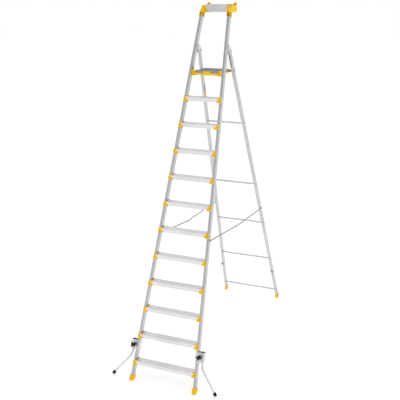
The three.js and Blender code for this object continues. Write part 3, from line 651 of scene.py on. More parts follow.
def build_brackets(s, looks):
    """Moulded tread ends: a two-lobed front plate, a socket plate, a rear tab and a top rim."""
    for number in range(1, s.count + 1):
        place, along = step_frame(s, number)
        for name, side in SIDES:
            stile = s.stile(side)
            at = along / math.cos(s.taper)
            half = s.stile_width / 2
            depth = s.stile_depth / 2 + 0.3
            lobes = mirrored(
                [
                    (half - 3, 25, 4),
                    (-half - 22, 25, 9),
                    (-half - 22, 3, 8),
                    (-half - 11, 0, 2),
                    (-half - 22, -3, 8),
                    (-half - 22, -25, 9),
                    (half - 3, -25, 4),
                ],
                side,
                at,
            )
            shape = Shape(stile)
            shape.prism(rounded(lobes, 6), (-depth - 8, -depth), "y")
            shape.prism(
                rectangle((-depth - 3, depth + 3), (at - 25, at + 25), 4),
                span_on(side, -half - 3.3, -half - 0.3),
            )
            rear = rectangle(span_on(side, -half - 3.3, half - 2), (at - 25, at + 25), 4)
            shape.prism(rear, (depth, depth + 3), "y")
            shape.place = place
            inside = s.stile_centre(along) - half - 0.3
            drop = math.tan(s.taper) * (21.4 + 85 * math.sin(s.front_lean)) + 0.3
            side_view = rounded([(-2, -10.6, 3), (79, -10.6, 6), (79, 21.4, 5), (-2, 21.4, 3)], 5)
            shape.prism(side_view, span_on(side, inside - 7, inside - drop))
            ledge = rounded([(0, 14), (74, 14), (74, 21.4, 2), (0, 21.4, 2)], 3)
            shape.prism(ledge, span_on(side, inside - 11, inside - 5))
            obj = solid(shape, f"Tread_Bracket_{number:02d}_{name}", 1.0)
            declare(obj, "front_frame", "yellow_plastic", looks.yellow)


def build_front_feet(s, looks):
    """Moulded boots, flat on the floor, with a rounded heel, sole grooves and a thick rim."""
    for name, side in SIDES:
        place = s.stile(side)
        half, height = s.stile_depth / 2 + 4.5, 58
        toe, heel = (s.face(y + s.stile_depth / 2) for y in (-half, half))
        sole = [(-half, toe, 3), (half, heel, 26), (half, height, 3), (-half, height, 3)]
        width = s.stile_width + 9
        shape = Shape(place)
        shape.prism(rounded(sole, 8), centred(width))
        rim = rectangle(centred(width + 3), centred(2 * half + 3), 5)
        shape.prism(rim, (47, 58.5), "z")
        shape.prism(rectangle((-half + 14, half - 10), (28, 41), 3), centred(width + 2))
        obj = cut_at_floor(solid(shape, f"Front_Foot_{name}", 1.6, 3))
        declare(obj, "front_frame", "yellow_plastic", looks.yellow, f"front_foot_{name}")


def build_tray(s, looks):
    """The tool tray's extrusion: a trough with rolled lips and fine ribs on its front panel."""
    top, depth = 74, 142
    ribs = []
    for i in range(7):
        z = 56 - i * 6.4
        ribs += [(2.7, z), (2, z - 0.6), (2, z - 4.4), (2.7, z - 5)]
    corners = [(2, 4, 2), (depth - 4, 4, 2), (depth - 4, top, 1.2), (depth - 11, top, 1.2)]
    corners += [(depth - 11, top - 3), (depth - 7, top - 3), (depth - 7, 7, 2), (6, 7, 2)]
    corners += [(6, top - 3), (10, top - 3), (10, top, 1.2), (0.8, top, 1.5), (0.8, top - 10)]
    corners += [(2.7, top - 11)] + ribs + [(2.7, 11), (0.8, 10), (0.8, 4)]
    shape = Shape(s.standing(0, s.tray_y, s.tray))
    shape.prism(rounded(corners[1:], 3), centred(210.4))
    declare(solid(shape, "Tool_Tray"), "front_frame", "ribbed_aluminium", looks.panel, "tool_tray")


def build_tray_caps(s, looks):
    """Moulded tray ends: an open well, a raised horn behind, and a collar round the stile."""
    height, depth, inner, outer = 66, 142, 105.5, 150.5
    for name, side in SIDES:
        place = s.standing(0, s.tray_y, s.tray)
        side_view = rounded([(0, 0, 4), (depth, 0, 30), (depth, height, 3), (0, height, 3)], 8)
        inside = [(4, 5, 3), (depth - 4, 5, 26), (depth - 4, height + 20), (4, height + 20)]
        obj = solid(Shape(place).prism(side_view, span_on(side, inner, outer)), f"Tray_Cap_{name}")
        well = Shape(place).prism(rounded(inside, 8), span_on(side, inner - 1, outer - 4))
        carve(obj, solid(well, "Well_Cutter"))
        round_edges(obj, 1.3, 3)
        extra = Shape(place)
        horn = [
            (inner, height - 12),
            (outer, height - 12),
            (outer, height + 26, 9),
            (outer - 17, height + 26, 9),
            (inner, height + 1, 2),
        ]
        extra.prism(rounded(mirrored(horn, side), 8), (depth - 6, depth), "y")
        web = rounded([(depth - 5, height - 3), (depth - 5, height + 20, 3), (depth - 34, height - 3)], 5)
        extra.prism(web, span_on(side, outer - 4, outer))
        extra.place = s.stile(side)
        top = s.up_stile(s.tray)
        sleeve = rectangle(centred(s.stile_width + 8), centred(s.stile_depth + 8), 3)
        extra.prism(sleeve, (top - 30, top + 12), "z")
        front = -s.stile_depth / 2
        nose = [(front - 4, top - 30), (front + 40, top - 30), (front + 44, top + 58)]
        nose += [(front + 19, top + 59, 5), (front - 4, top + 10, 16)]
        extra.prism(rounded(nose, 6), centred(s.stile_width + 8))
        detail = solid(extra, f"Tray_Collar_{name}", 1.3, 3)
        declare(obj, "front_frame", "yellow_plastic", looks.yellow, f"tray_cap_{name}")
        declare(detail, "front_frame", "yellow_plastic", looks.yellow)


def build_hinges(s, looks):
    """Riveted hinge cheeks either side of each stile, with a headed pivot pin."""
    at = s.hinge_along / math.cos(s.taper)
    face = s.stile_depth / 2
    pivot = face + 70
    cheek = [
        (face - 23, at - 6, 4),
        (pivot - 15, at - 22, 8),
        (pivot + 20, at - 20, 16),
        (pivot + 22, at + 12, 14),
        (pivot - 35, at + 45, 10),
        (face - 5, at + 50, 6),
        (face - 23, at + 46, 4),
    ]
    for name, side in SIDES:
        shape = Shape(s.stile(side))
        inner = s.stile_width / 2 + 0.3
        shape.prism(rounded(cheek, 7), (inner, inner + 3))
        shape.prism(rounded(cheek, 7), (-inner - 3, -inner))
        shape.block(centred(2 * inner), (face + 0.3, face + 3.3), (at + 4, at + 42))
        obj = solid(shape, f"Hinge_Bracket_{name}", 0.6)
        declare(obj, "front_frame", "plain_aluminium", looks.sheet, f"hinge_bracket_{name}")
        pin = Shape(s.standing(side * s.hinge_span, s.hinge_y, s.hinge))
        reach = s.stile_width / 2 + 3.6 + 9 * math.tan(s.taper)
        dome = [(0, reach + 3.4), (3, reach + 3.2), (7, reach + 2), (9, reach)]
        pin.lathe([(r, -w) for r, w in dome] + [(5, -reach), (5, reach)] + dome[::-1])
        obj = solid(pin, f"Hinge_Pin_{name}")
        declare(obj, "front_frame", "zinc_steel", looks.zinc, f"hinge_pin_{name}")


def build_rear_legs(s, looks):
    """Rear box extrusions with rounded tops, set on the hinge pins."""
    for name, side in SIDES:
        half = s.leg_depth / 2
        bottom = -s.down_leg(s.rear_length) + 20
        side_view = [(-half, bottom), (half, bottom)]
        side_view += [(half, half, half - 0.5), (-half, half, half - 0.5)]
        shape = Shape(s.leg(side)).prism(rounded(side_view, 12), centred(s.leg_width))
        obj = solid(shape, f"Rear_Leg_{name}", 2.4, 4)
        declare(obj, "rear_frame", "plain_aluminium", looks.leg, f"rear_leg_{name}")


def build_rungs(s, looks):
    """Round rungs through both legs, swaged to a bead against each face of each leg."""
    for number, distance in enumerate(RUNGS, 1):
        centre = s.leg_centre(distance)
        reach = centre + s.leg_width / 2
        inside = centre - s.leg_width / 2
        half = [(0, reach - 6), (6.6, reach - 6), (7.4, reach + 2.4), (9.6, reach + 3)]
        half += [(12.2, reach + 2), (12.4, reach + 0.6), (9, reach + 0.4), (9, inside - 0.4)]
        half += [(12.2, inside - 0.7), (12.2, inside - 2.4), (9.6, inside - 5), (9, inside - 7)]
        profile = half + [(r, -w) for r, w in half[::-1]]
        shape = Shape(s.rear_frame()).lathe(profile, "x", (0, 0, -distance), 40)
        obj = solid(shape, f"Rear_Rung_{number}")
        declare(obj, "rear_frame", "plain_aluminium", looks.rung, f"rear_rung_{number}")


def build_rear_feet(s, looks):
    """Cupped rear boots with a round underside, higher behind the leg than in front."""
    for name, side in SIDES:
        half = s.leg_depth / 2 + 4
        bottom = -s.down_leg(s.rear_length)
        slope = math.tan(s.rear_lean)
        view = [
            (-half, bottom + half * slope, 22),
            (half, bottom - half * slope, 22),
            (half, bottom + 64, 4),
            (half - 16, bottom + 64, 10),
            (-4, bottom + 48, 8),
            (-half, bottom + 48, 2),
        ]
        width = s.leg_width + 8
        shape = Shape(s.leg(side)).prism(rounded(view, 8), centred(width))
        groove = rectangle((-half + 12, half - 6), (bottom + 20, bottom + 29), 3)
        shape.prism(groove, centred(width + 2))
        obj = cut_at_floor(solid(shape, f"Rear_Foot_{name}", 1.6, 3))
        declare(obj, "rear_frame", "yellow_plastic", looks.yellow, f"rear_foot_{name}")


def build_hooks(s, looks):
    """Bent steel hooks that hold the stabiliser tubes when the ladder is shut."""
    for name, side in SIDES:
        at = -s.down_leg(HOOKS)
        front = -s.leg_depth / 2 - 0.3
        out = s.leg_width / 2
        shape = Shape(s.leg(side))
        tab = rectangle(span_on(side, 3 - out, out + 12), (at - 13, at + 13), 3)
        shape.prism(tab, (front - 4, front), "y")
        arm = [(front, at + 4.5), (front - 30, at - 27, 5), (front - 30, at - 36, 2)]
        arm += [(front - 26, at - 36, 2), (front - 24, at - 30, 4), (front, at - 4.5)]
        shape.prism(rounded(arm, 4), span_on(side, out + 8, out + 12))
        obj = solid(shape, f"Transport_Hook_{name}", 0.7)
        declare(obj, "rear_frame", "zinc_steel", looks.zinc, f"transport_hook_{name}")


def build_platform(s, looks):
    """The moulded platform frame with its finger grip, the ribbed deck and the rod it turns on."""
    half, depth, low, deck = 133, 263, -41, -26
    rear = depth + 12
    place = s.standing(0, s.platform_front, s.platform)
    obj = solid(Shape(place).block((-half, half), (0, rear), (low, deck + 6)), "Platform_Frame")
    window = rectangle((-half + 24, half - 24), (24, depth - 24), 12)
    taper = [(80, low - 1), (rear + 1, low - 1), (rear + 1, -29)]
    cuts = (
        Shape(place).block((-half + 4, half - 4), (4, rear - 4), (low + 14, 20)),
        Shape(place).prism(window, (low - 5, 20), "z"),
        Shape(place).prism(taper, (-half - 1, half + 1)),
    )
    for cut in cuts:
        carve(obj, solid(cut, "Platform_Cutter"))
    round_edges(obj, 1.6, 3)
    extra = Shape(place)
    for _, side in SIDES:
        post = rectangle(span_on(side, half - 13, half + 0.6), (-1.2, 14), 3)
        extra.prism(post, (low - 0.6, 4), "z")
        ear = [(depth - 46, -33), (rear, -30, 6), (rear, -4, 8), (depth - 30, -4, 8)]
        extra.prism(rounded(ear, 6), span_on(side, half - 6, half))
        brace = [(half - 13, -20), (half - 13, low + 2, 2), (half - 34, low + 2, 2), (half - 24, -20)]
        extra.prism(rounded(mirrored(brace, side), 3), (-0.8, 5), "y")
    grip = rounded([(-42, low), (42, low), (34, -5, 5), (-34, -5, 5)], 5)
    extra.prism(grip, (-1.5, 6), "y")
    detail = solid(extra, "Platform_Corners", 1.3, 3)
    declare(obj, "platform", "yellow_plastic", looks.yellow, "platform_frame")
    declare(detail, "platform", "yellow_plastic", looks.yellow)

    inset, edge = 7.3, depth + 3
    view = [(half - inset, 7, 12), (half - inset, edge, 4)]
    view = [(-half + inset, 7, 12), *view, (-half + inset, edge, 4)]
    shape = Shape(place)
    shape.prism(rounded(view, 5), (-4, -1.5), "z")
    shape.block((-half + 14, half - 14), (7.2, 11), (deck, -3))
    for _, side in SIDES:
        shape.block(span_on(side, half - inset - 4, half - inset), (16, depth - 13), (deck, -3))
    obj = solid(shape, "Platform_Deck", 0.8)
    start = place @ Vector((0, 13, -0.9))
    size = Vector((2 * (half - 15), 5.4, 1.8)) * MM
    row = {"Count": 26, "Start": start * MM, "Pitch": (0, 9.6 * MM, 0)}
    run_nodes(obj, rib_nodes(), {**row, "Size": size, "Finish": looks.grey})
    declare(obj, "platform", "grey_plastic", looks.grey, "platform_deck")

    down = s.rear_down(s.pivot_z)
    reach = s.leg_centre(down) + s.leg_width / 2
    inside = s.leg_centre(down) - s.leg_width / 2 - 1
    side = [(0, reach + 6), (4, reach + 5.8), (8.5, reach + 4.4), (9, reach + 1.4), (6, reach + 1.2)]
    side += [(6, inside + 0.4), (10, inside), (10, half + 1), (6, half + 0.8)]
    rod = Shape(s.standing(0, s.pivot_y, s.pivot_z)).lathe(side + [(r, -w) for r, w in side[::-1]])
    declare(solid(rod, "Platform_Rod"), "platform", "zinc_steel", looks.zinc, "platform_rod")


def build_rests(s, looks):
    """Moulded guides on the stiles with the ledges that carry the platform's front corners."""
    low = s.platform - 47
    for name, side in SIDES:
        place = s.standing(0, s.platform_front, low)
        guide = 134.5
        wall = s.stile_centre(s.along(low)) - s.stile_width / 2 - 0.6
        top = s.stile_centre(s.along(s.platform)) - s.stile_width / 2 - 0.6
        face = mirrored([(guide, 0), (wall, 0), (top, 51, 1), (guide, 51, 2)], side)
        shape = Shape(place).prism(rounded(face, 3), (0, 34), "y")
        shape.block(span_on(side, guide - 22, guide + 2), (0, 34), (0, 5))
        obj = solid(shape, f"Platform_Rest_{name}", 1.2)
        declare(obj, "front_frame", "yellow_plastic", looks.yellow, f"platform_rest_{name}")


def stay_points(s):
    """The stay's ends and middle joint, in y and z as it stands."""
    lean, centre = s.front_lean, s.stile_depth / 2
    front = Vector((s.face(STAY_FRONT), STAY_FRONT))
    front += Vector((centre * math.cos(lean), -centre * math.sin(lean)))
    rear = Vector((s.rear_y(STAY_REAR), STAY_REAR))
    along = rear - front
    across = Vector((along.y, -along.x)).normalized()
    offset = s.rear_down(STAY_REAR) - (s.hinge_along - s.along(STAY_FRONT))
    share = (1 - offset / along.length) / 2
    return front, rear, front + along * share + across * 28


def build_stays(s, looks):
    """Two flat bars a side with round ends, pinned to the frames and to each other."""
    front, rear, middle = stay_points(s)
    for name, side in SIDES:
        high, low = s.up_stile(STAY_FRONT), -s.down_leg(s.rear_down(STAY_REAR))
        ends = (
            ("front", s.stile(side), high, front, s.front_lean, s.stile_width / 2 + 0.4),
            ("rear", s.leg(side), low, rear, -s.rear_lean, s.leg_width / 2 + 8.6),
        )
        for which, place, at, end, lean, face in ends:
            run = middle - end
            angle = math.atan2(run.y, run.x) + lean
            shape = Shape(place @ Matrix.Translation((0, 0, at)) @ Matrix.Rotation(angle, 4, "X"))
            length = run.length
            bar = [(-7, -7, 6.9), (length + 7, -7, 6.9), (length + 7, 7, 6.9), (-7, 7, 6.9)]
            shape.prism(rounded(bar, 8), span_on(side, face, face + 3))
            head = [(0, face + 5.4), (3, face + 5.2), (5.4, face + 4.2), (6, face + 2.8)]
            head += [(6, face - 0.2)]
            shape.lathe([(r, side * w) for r, w in head], "x")
            if which == "rear":
                pin = [*head[:4], (4, face - 0.2), (4, face - 2), (0, face - 2)]
                shape.lathe([(r, side * w) for r, w in pin], "x", (0, length, 0))
            obj = solid(shape, f"Stay_{which}_{name}", 0.5)
            body = f"stay_{which}_{name}"
            declare(obj, body, "plain_aluminium", looks.bar, body)


def build_clamps(s, looks):
    """Folded sleeves round stile and leg, with the moulded filler the leg turns in."""
    bottom = s.up_stile(CLAMP_AT)
    top = bottom + CLAMP_HEIGHT
    inner, depth = s.stile_width / 2 + 0.3, s.stile_depth / 2 + 0.3
    for name, side in SIDES:
        place = s.stile(side)
        outside = span_on(side, -inner - 3, CLAMP_REACH + 3)
        outside = rectangle(outside, centred(2 * depth + 6), 4, 6)
        inside = rectangle(span_on(side, -inner, CLAMP_REACH), centred(2 * depth), 1.2, 3)
        obj = solid(Shape(place).prism(outside, (bottom, top), "z"), f"Stabiliser_Clamp_{name}")
        carve(obj, solid(Shape(place).prism(inside, (bottom - 5, top + 5), "z"), "Sleeve_Cutter"))
        round_edges(obj, 0.5)
        declare(obj, "front_frame", "plain_aluminium", looks.sheet, f"clamp_{name}")

        filler = span_on(side, inner + 0.4, CLAMP_REACH - 0.3)
        filler = rectangle(filler, centred(2 * depth - 1), 1.5, 3)
        obj = solid(Shape(place).prism(filler, (bottom + 3, top + 4), "z"), f"Clamp_Filler_{name}")
        bore = [(12.6, bottom - 50), (12.6, bottom + 200)]
        hole = Shape(place).lathe(bore, "z", (side * TUBE_OUT, 0, 0), 48)
        carve(obj, solid(hole, "Bush_Cutter"))
        round_edges(obj, 0.6)
        declare(obj, "front_frame", "black_plastic", looks.black, f"clamp_insert_{name}")

        low, high = bottom + 4, top + 2
        ring = [(10.3, low + 0.4), (12.3, low), (12.3, high), (10.3, high + 0.6)]
        bush = Shape(place).ring(ring, (side * TUBE_OUT, 0, 0), 40)
        body = f"leg_swivel_{name}"
        obj = solid(bush, f"Leg_Bush_{name}")
        declare(obj, body, "black_plastic", looks.black, f"leg_bush_{name}")


def leg_path(s, side):
    """A stabiliser's centre line in its stile's frame, and where its foot ends."""
    splay, steps, easing = math.radians(35), 14, 38
    top = s.up_stile(CLAMP_AT) + CLAMP_HEIGHT + 3
    bend = s.up_stile(223)
    outward = splay + s.taper
    down = Vector((math.sin(outward), 0, -math.cos(outward)))
    down = Matrix.Rotation(-s.front_lean, 3, "X") @ down
    # The foot's rim is round, so its lowest point is the one that meets the floor.
    rim = 15 * math.sqrt(1 - down.z**2)
    up = bend * math.cos(s.taper) - TUBE_OUT * math.sin(s.taper)
    height = up * math.cos(s.front_lean) - s.stile_depth / 2 * math.sin(s.front_lean)
    reach = (height - rim - 2) / -down.z

    def point(w):
        return Vector((side * (TUBE_OUT + math.sin(splay) * w), 0, bend - math.cos(splay) * w))

    start = Vector((side * TUBE_OUT, 0, bend + easing))
    path = [Vector((side * TUBE_OUT, 0, top)), start]
    middle, end = point(0), point(easing)
    for k in range(1, steps + 1):
        t = k / steps
        path.append(start * (1 - t) ** 2 + middle * 2 * t * (1 - t) + end * t * t)
    path.append(point(reach - 5))
    return path, splay, reach, bend, top


def build_stabilisers(s, looks):
    """Bent tube legs with a moulded plug at the top and a ribbed foot plug at the bottom."""
    for name, side in SIDES:
        place = s.stile(side)
        path, splay, reach, bend, top = leg_path(s, side)
        body = f"stabiliser_{name}"
        tube = solid(Shape(place).sweep(path, 10, 36), f"Stabiliser_Leg_{name}", 0.6)
        declare(tube, body, "plain_aluminium", looks.tube, f"stabiliser_leg_{name}")
        cap = [(0, 5.6), (5, 5.4), (9, 4.4), (10.5, 2.6), (10.5, 0.3)]
        obj = solid(Shape(place).lathe(cap, "z", (side * TUBE_OUT, 0, top)), f"Leg_Cap_{name}")
        declare(obj, body, "black_plastic", looks.black, f"stabiliser_cap_{name}")
        turned = Matrix.Translation((side * TUBE_OUT, 0, bend))
        turned @= Matrix.Rotation(-side * splay, 4, "Y")
        profile = [(0, -reach), (12.6, -reach), (15, -reach + 2.4)]
        for k in range(4):
            low = -reach + 5 + k * 5.6
            profile += [(15, low), (13.9, low + 0.8), (13.9, low + 2), (15, low + 2.8)]
        profile += [(15, -reach + 29), (13.4, -reach + 32), (10.3, -reach + 32.4)]
        obj = solid(Shape(place @ turned).lathe(profile, "z", sides=40), f"Foot_Plug_{name}")
        declare(obj, body, "black_plastic", looks.rubber, f"stabiliser_foot_{name}")


def build_knobs(s, looks):
    """Four-armed clamping knobs with a domed hub, on a bolt through the clamp."""
    for name, side in SIDES:
        at = s.up_stile(CLAMP_AT) + CLAMP_HEIGHT / 2
        face = -s.stile_depth / 2 - 3.3 - 27
        place = s.stile(side) @ Matrix.Translation((side * BOLT_OUT, 0, at))
        shape = Shape(place @ Matrix.Rotation(math.radians(15 if side > 0 else 45), 4, "Y"))
        star = []
        for k in range(4):
            turn = Matrix.Rotation(k * math.pi / 2, 2)
            for x, z, r in ((8.5, 6.4, 3), (25, 7.2, 6.2), (25, -7.2, 6.2)):
                p = turn @ Vector((x, -z))
                star.append((p.x, p.y, r))
        shape.prism(rounded(star, 6), (face - 15, face), "y")
        obj = solid(shape, f"Clamp_Knob_{name}", 2.2, 4)
        rear = s.stile_depth / 2 + 0.3 + 3 + 4
        stem = Shape(place)
        hub = [(0, -17), (5, -16.6), (8, -15), (9.5, -12), (9.5, -2)]
        neck = [(0, -3), (9, -3), (8, 2), (8, 25.6), (9.4, 25.8), (9.4, 26.7), (0, 26.7)]
        bolt = [(0, 0), (4, 0), (4, rear + 2 - face), (0, rear + 2 - face)]
        for profile in (hub, neck, bolt):
            stem.lathe(profile, "y", (0, face, 0))
        nut = [(7 * math.cos(k * math.pi / 3), 7 * math.sin(k * math.pi / 3)) for k in range(6)]
        stem.prism(nut, (rear - 3.6, rear + 1), "y")
        body = f"knob_{name}"
        declare(obj, body, "black_plastic", looks.black, body)
        stem = solid(stem, f"Knob_Stem_{name}", 0.4)
        declare(stem, body, "black_plastic", looks.black)


def build_rivets(s, looks):
    """Blind rivets: one in each bracket's front, three a cheek at the hinges, and at the feet."""
    front, rear, hinge = [], [], []
    half, depth = s.stile_width / 2, s.stile_depth / 2
    for number in range(1, s.count + 1):
        _, along = step_frame(s, number)
        at = along / math.cos(s.taper)
        for _, side in SIDES:
            place = s.stile(side)
            front.append(spot(place, (0, -depth - 8.3, at), (0, -1, 0)))
            front.append(spot(place, (0, depth + 3.3, at + 10), (0, 1, 0)))
            front.append(spot(place, (0, depth + 3.3, at - 10), (0, 1, 0)))
    pivot = s.hinge_along / math.cos(s.taper)
    top = s.up_stile(s.tray)
    bottom = -s.down_leg(s.rear_length)
    for _, side in SIDES:
        place = s.stile(side)
        for y, z in ((14, 8), (14, 31), (53, -5)):
            for way in (-1, 1):
                hinge.append(spot(place, (way * (half + 3.3), y, pivot + z), (way, 0, 0)))
        front.append(spot(place, (0, -depth - 4, top - 12), (0, -1, 0)))
        front.append(spot(place, (side * (half + 4), 0, top - 14), (side, 0, 0)))
        front.append(spot(place, (side * (half + 4.5), 0, 62), (side, 0, 0)))
        for z in (20, 70):
            at = s.up_stile(CLAMP_AT) + z
            front.append(spot(place, (-side * (half + 3.3), 0, at), (-side, 0, 0)))
        leg = s.leg(side)
        rear.append(spot(leg, (side * (s.leg_width / 2 + 4), 12, bottom + 44), (side, 0, 0)))
        rear.append(spot(leg, (0, -s.leg_depth / 2 - 4.3, -s.down_leg(HOOKS)), (0, -1, 0)))
    for name, spots, radius, look, body, slot in (
        ("Front_Frame_Rivets", front, 4.4, looks.rivet, "front_frame", "plain_aluminium"),
        ("Hinge_Rivets", hinge, 4.6, looks.dark, "front_frame", "zinc_steel"),
        ("Rear_Frame_Rivets", rear, 4.2, looks.rivet, "rear_frame", "plain_aluminium"),
    ):
        declare(rivets(name, spots, radius, 0.5, look), body, slot, look)


def build_labels(s, looks):
    """Two stickers one above the other on the left rear leg's inner face."""
    place = s.leg(-1)
    face = s.leg_width / 2
    spans = ((s.platform - 315, s.platform - 230, looks.yellow_label, "Rear_Leg_Label_Yellow"),)
    spans += ((s.platform - 229, s.platform - 169, looks.dark_label, "Rear_Leg_Label_Dark"),)
    for low, high, look, name in spans:
        zs = (-s.down_leg(s.rear_down(low)), -s.down_leg(s.rear_down(high)))
        shape = Shape(place).prism(rectangle((-18, 18), zs, 2), (face, face + 0.25))
        declare(solid(shape, name), "rear_frame", "plain_aluminium", look)


def build_stage(p):
    """A pale floor, three soft studio lights, the room's glow and the camera."""
    mesh = bpy.data.meshes.new("Floor")
    far = 40.0
    corners = [(-far, -far, 0), (far, -far, 0), (far, far, 0), (-far, far, 0)]
    mesh.from_pydata(corners, [], [(0, 1, 2, 3)])
    floor = bpy.data.objects.new("Floor", mesh)
    bpy.context.collection.objects.link(floor)
    look, _, _ = new_surface(
        "Pale Studio Floor",
        Base_Color=linear("#FDFDFD"),
        Roughness=0.9,
        Emission_Color=linear("#FFFFFF"),
        Emission_Strength=0.19,
    )
    mesh.materials.append(look)
    lights = (
        ("Key Light", (5.2, -3.4, 6.2), 3.2, p.key_light),
        ("Fill Light", (-5.0, -4.6, 3.6), 4.0, p.fill_light),
        ("Top Light", (-0.5, 2.5, 7.5), 4.5, p.top_light),
    )
    for name, where, size, power in lights:
        data = bpy.data.lights.new(name, "AREA")
        data.size = size
        data.energy = power
        lamp = bpy.data.objects.new(name, data)
        lamp.location = where
        aim = Vector((0, 0, 1.5)) - Vector(where)
        lamp.rotation_euler = aim.to_track_quat("-Z", "Y").to_euler()
        bpy.context.collection.objects.link(lamp)
    world = bpy.data.worlds.new("Studio")
    world.use_nodes = True
    tree = world.node_tree
    back = tree.nodes["Background"]
    # A white room whose near side, behind the camera, is grey above eye level.
    where = add_node(tree, "ShaderNodeTexCoord")
    split = add_node(tree, "ShaderNodeSeparateXYZ", {"Vector": where.outputs["Generated"]})
    depth = add_node(
        tree, "ShaderNodeMapRange", {"Value": split.outputs["Y"], "From Min": -0.95, "From Max": 0.1}
    )
    height = add_node(
        tree, "ShaderNodeMapRange", {"Value": split.outputs["Z"], "From Min": 0.15, "From Max": 0.6}
    )
    tones = {SHARE: height.outputs["Result"], FIRST: linear("#EAEAEC"), SECOND: linear("#969698")}
    near = add_node(tree, "ShaderNodeMix", tones, data_type="RGBA").outputs[MIXED]
    tones = {SHARE: depth.outputs["Result"], FIRST: near, SECOND: linear("#FFFFFF")}
    room = add_node(tree, "ShaderNodeMix", tones, data_type="RGBA").outputs[MIXED]
    tree.links.new(room, back.inputs["Color"])
    back.inputs["Strength"].default_value = p.ambient
    bpy.context.scene.world = world
    bpy.context.scene.view_settings.view_transform = "Standard"
    data = bpy.data.cameras.new("Camera")
    data.sensor_width = 36.0
    data.lens = p.lens
    camera = bpy.data.objects.new("Camera", data)
    camera.location = (2.7717, -6.6600, 3.5062)
    camera.rotation_euler = (math.radians(74.196), 0, math.radians(23.682))
    bpy.context.collection.objects.link(camera)
    bpy.context.scene.camera = camera


# ---- add-on ----


class LadderSize(bpy.types.PropertyGroup):
    """The ladder's overall sizes."""

    step_count: bpy.props.IntProperty(
        name="Treads", description="Treads below the platform", default=11, min=3, max=14
    )
    step_pitch: bpy.props.FloatProperty(
        name="Tread Pitch",
        description="Rise from tread to tread",
        default=0.235,
        unit="LENGTH",
    )
    first_step: bpy.props.FloatProperty(
        name="First Tread",
        description="Height of the lowest tread",
        default=0.181,
        unit="LENGTH",
    )
    front_lean: bpy.props.FloatProperty(
        name="Front Lean",
        description="Front frame from the vertical",
        default=math.radians(20.29),
        subtype="ANGLE",
    )
    rear_lean: bpy.props.FloatProperty(
        name="Rear Lean",
        description="Rear frame from the vertical",
        default=math.radians(22.24),
        subtype="ANGLE",
    )


class LadderLook(bpy.types.PropertyGroup):
    """Finishes and studio."""

    yellow: bpy.props.StringProperty(
        name="Yellow", description="Colour of the moulded fittings", default="#F6C604"
    )
    yellow_dark: bpy.props.StringProperty(
        name="Scuffed Yellow",
        description="The same colour where it is handled",
        default="#EEBC02",
    )
    metal_roughness: bpy.props.FloatProperty(
        name="Metal Roughness",
        description="Roughness of the mill finish",
        default=0.36,
        min=0.05,
        max=1,
    )
    key_light: bpy.props.FloatProperty(
        name="Key Light", description="Power of the right-hand light", default=55, subtype="POWER"
    )
    fill_light: bpy.props.FloatProperty(
        name="Fill Light", description="Power of the left-hand light", default=30, subtype="POWER"
    )
    top_light: bpy.props.FloatProperty(
        name="Top Light", description="Power of the overhead light", default=45, subtype="POWER"
    )
    ambient: bpy.props.FloatProperty(
        name="Ambient", description="Brightness of the pale surroundings", default=1.0
    )
    lens: bpy.props.FloatProperty(
        name="Lens", description="Focal length in millimetres", default=67.26
    )


def piece_operator(key, label, build):
    """Makes the operator class that builds one group of like pieces."""

    def execute(self, context):
        sizes = Sizes(context.scene.ladder_size)
        if "looks" not in MADE:
            MADE["looks"] = Looks(context.scene.ladder_look, sizes)
        build(sizes, MADE["looks"])
        return {"FINISHED"}

    body = {"bl_idname": f"ladder.{key}", "bl_label": label, "__doc__": build.__doc__}
    return type(f"LADDER_OT_{key}", (bpy.types.Operator,), {**body, "execute": execute})


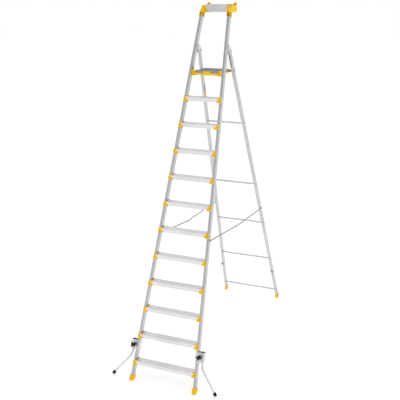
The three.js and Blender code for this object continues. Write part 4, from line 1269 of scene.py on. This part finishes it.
MADE = {}
PIECES = (
    ("stiles", "Add Stiles", build_stiles),
    ("treads", "Add Treads", build_treads),
    ("brackets", "Add Tread Brackets", build_brackets),
    ("front_feet", "Add Front Feet", build_front_feet),
    ("tool_tray", "Add Tool Tray", build_tray),
    ("tray_caps", "Add Tray Caps", build_tray_caps),
    ("hinges", "Add Hinges", build_hinges),
    ("rear_legs", "Add Rear Legs", build_rear_legs),
    ("rungs", "Add Rear Rungs", build_rungs),
    ("rear_feet", "Add Rear Feet", build_rear_feet),
    ("hooks", "Add Transport Hooks", build_hooks),
    ("platform", "Add Platform", build_platform),
    ("rests", "Add Platform Rests", build_rests),
    ("stays", "Add Stays", build_stays),
    ("clamps", "Add Stabiliser Clamps", build_clamps),
    ("stabilisers", "Add Stabiliser Legs", build_stabilisers),
    ("knobs", "Add Knobs", build_knobs),
    ("rivets", "Add Rivets", build_rivets),
    ("labels", "Add Labels", build_labels),
)
OPERATORS = [piece_operator(*row) for row in PIECES]


class LADDER_OT_stage(bpy.types.Operator):
    """Adds the floor, the lights and the camera."""

    bl_idname = "ladder.stage"
    bl_label = "Add Stage"

    def execute(self, context):
        build_stage(context.scene.ladder_look)
        return {"FINISHED"}


class LADDER_PT_panel(bpy.types.Panel):
    """Sizes, finishes and build buttons."""

    bl_idname = "LADDER_PT_panel"
    bl_label = "Platform Step Ladder"
    bl_space_type = "VIEW_3D"
    bl_region_type = "UI"
    bl_category = "Ladder"

    def draw(self, context):
        layout = self.layout
        for group in (context.scene.ladder_size, context.scene.ladder_look):
            column = layout.column(align=True)
            for name in group.__annotations__:
                column.prop(group, name)
        for key, label, _ in PIECES:
            layout.operator(f"ladder.{key}", text=label)
        layout.operator("ladder.stage")


CLASSES = (LadderSize, LadderLook, *OPERATORS, LADDER_OT_stage, LADDER_PT_panel)


def register():
    for cls in CLASSES:
        bpy.utils.register_class(cls)
    bpy.types.Scene.ladder_size = bpy.props.PointerProperty(type=LadderSize)
    bpy.types.Scene.ladder_look = bpy.props.PointerProperty(type=LadderLook)


def unregister():
    del bpy.types.Scene.ladder_look
    del bpy.types.Scene.ladder_size
    for cls in reversed(CLASSES):
        bpy.utils.unregister_class(cls)


def main():
    register()
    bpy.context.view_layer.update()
    for key, _, _ in PIECES:
        getattr(bpy.ops.ladder, key)()
    bpy.ops.ladder.stage()


if __name__ == "__main__":
    main()
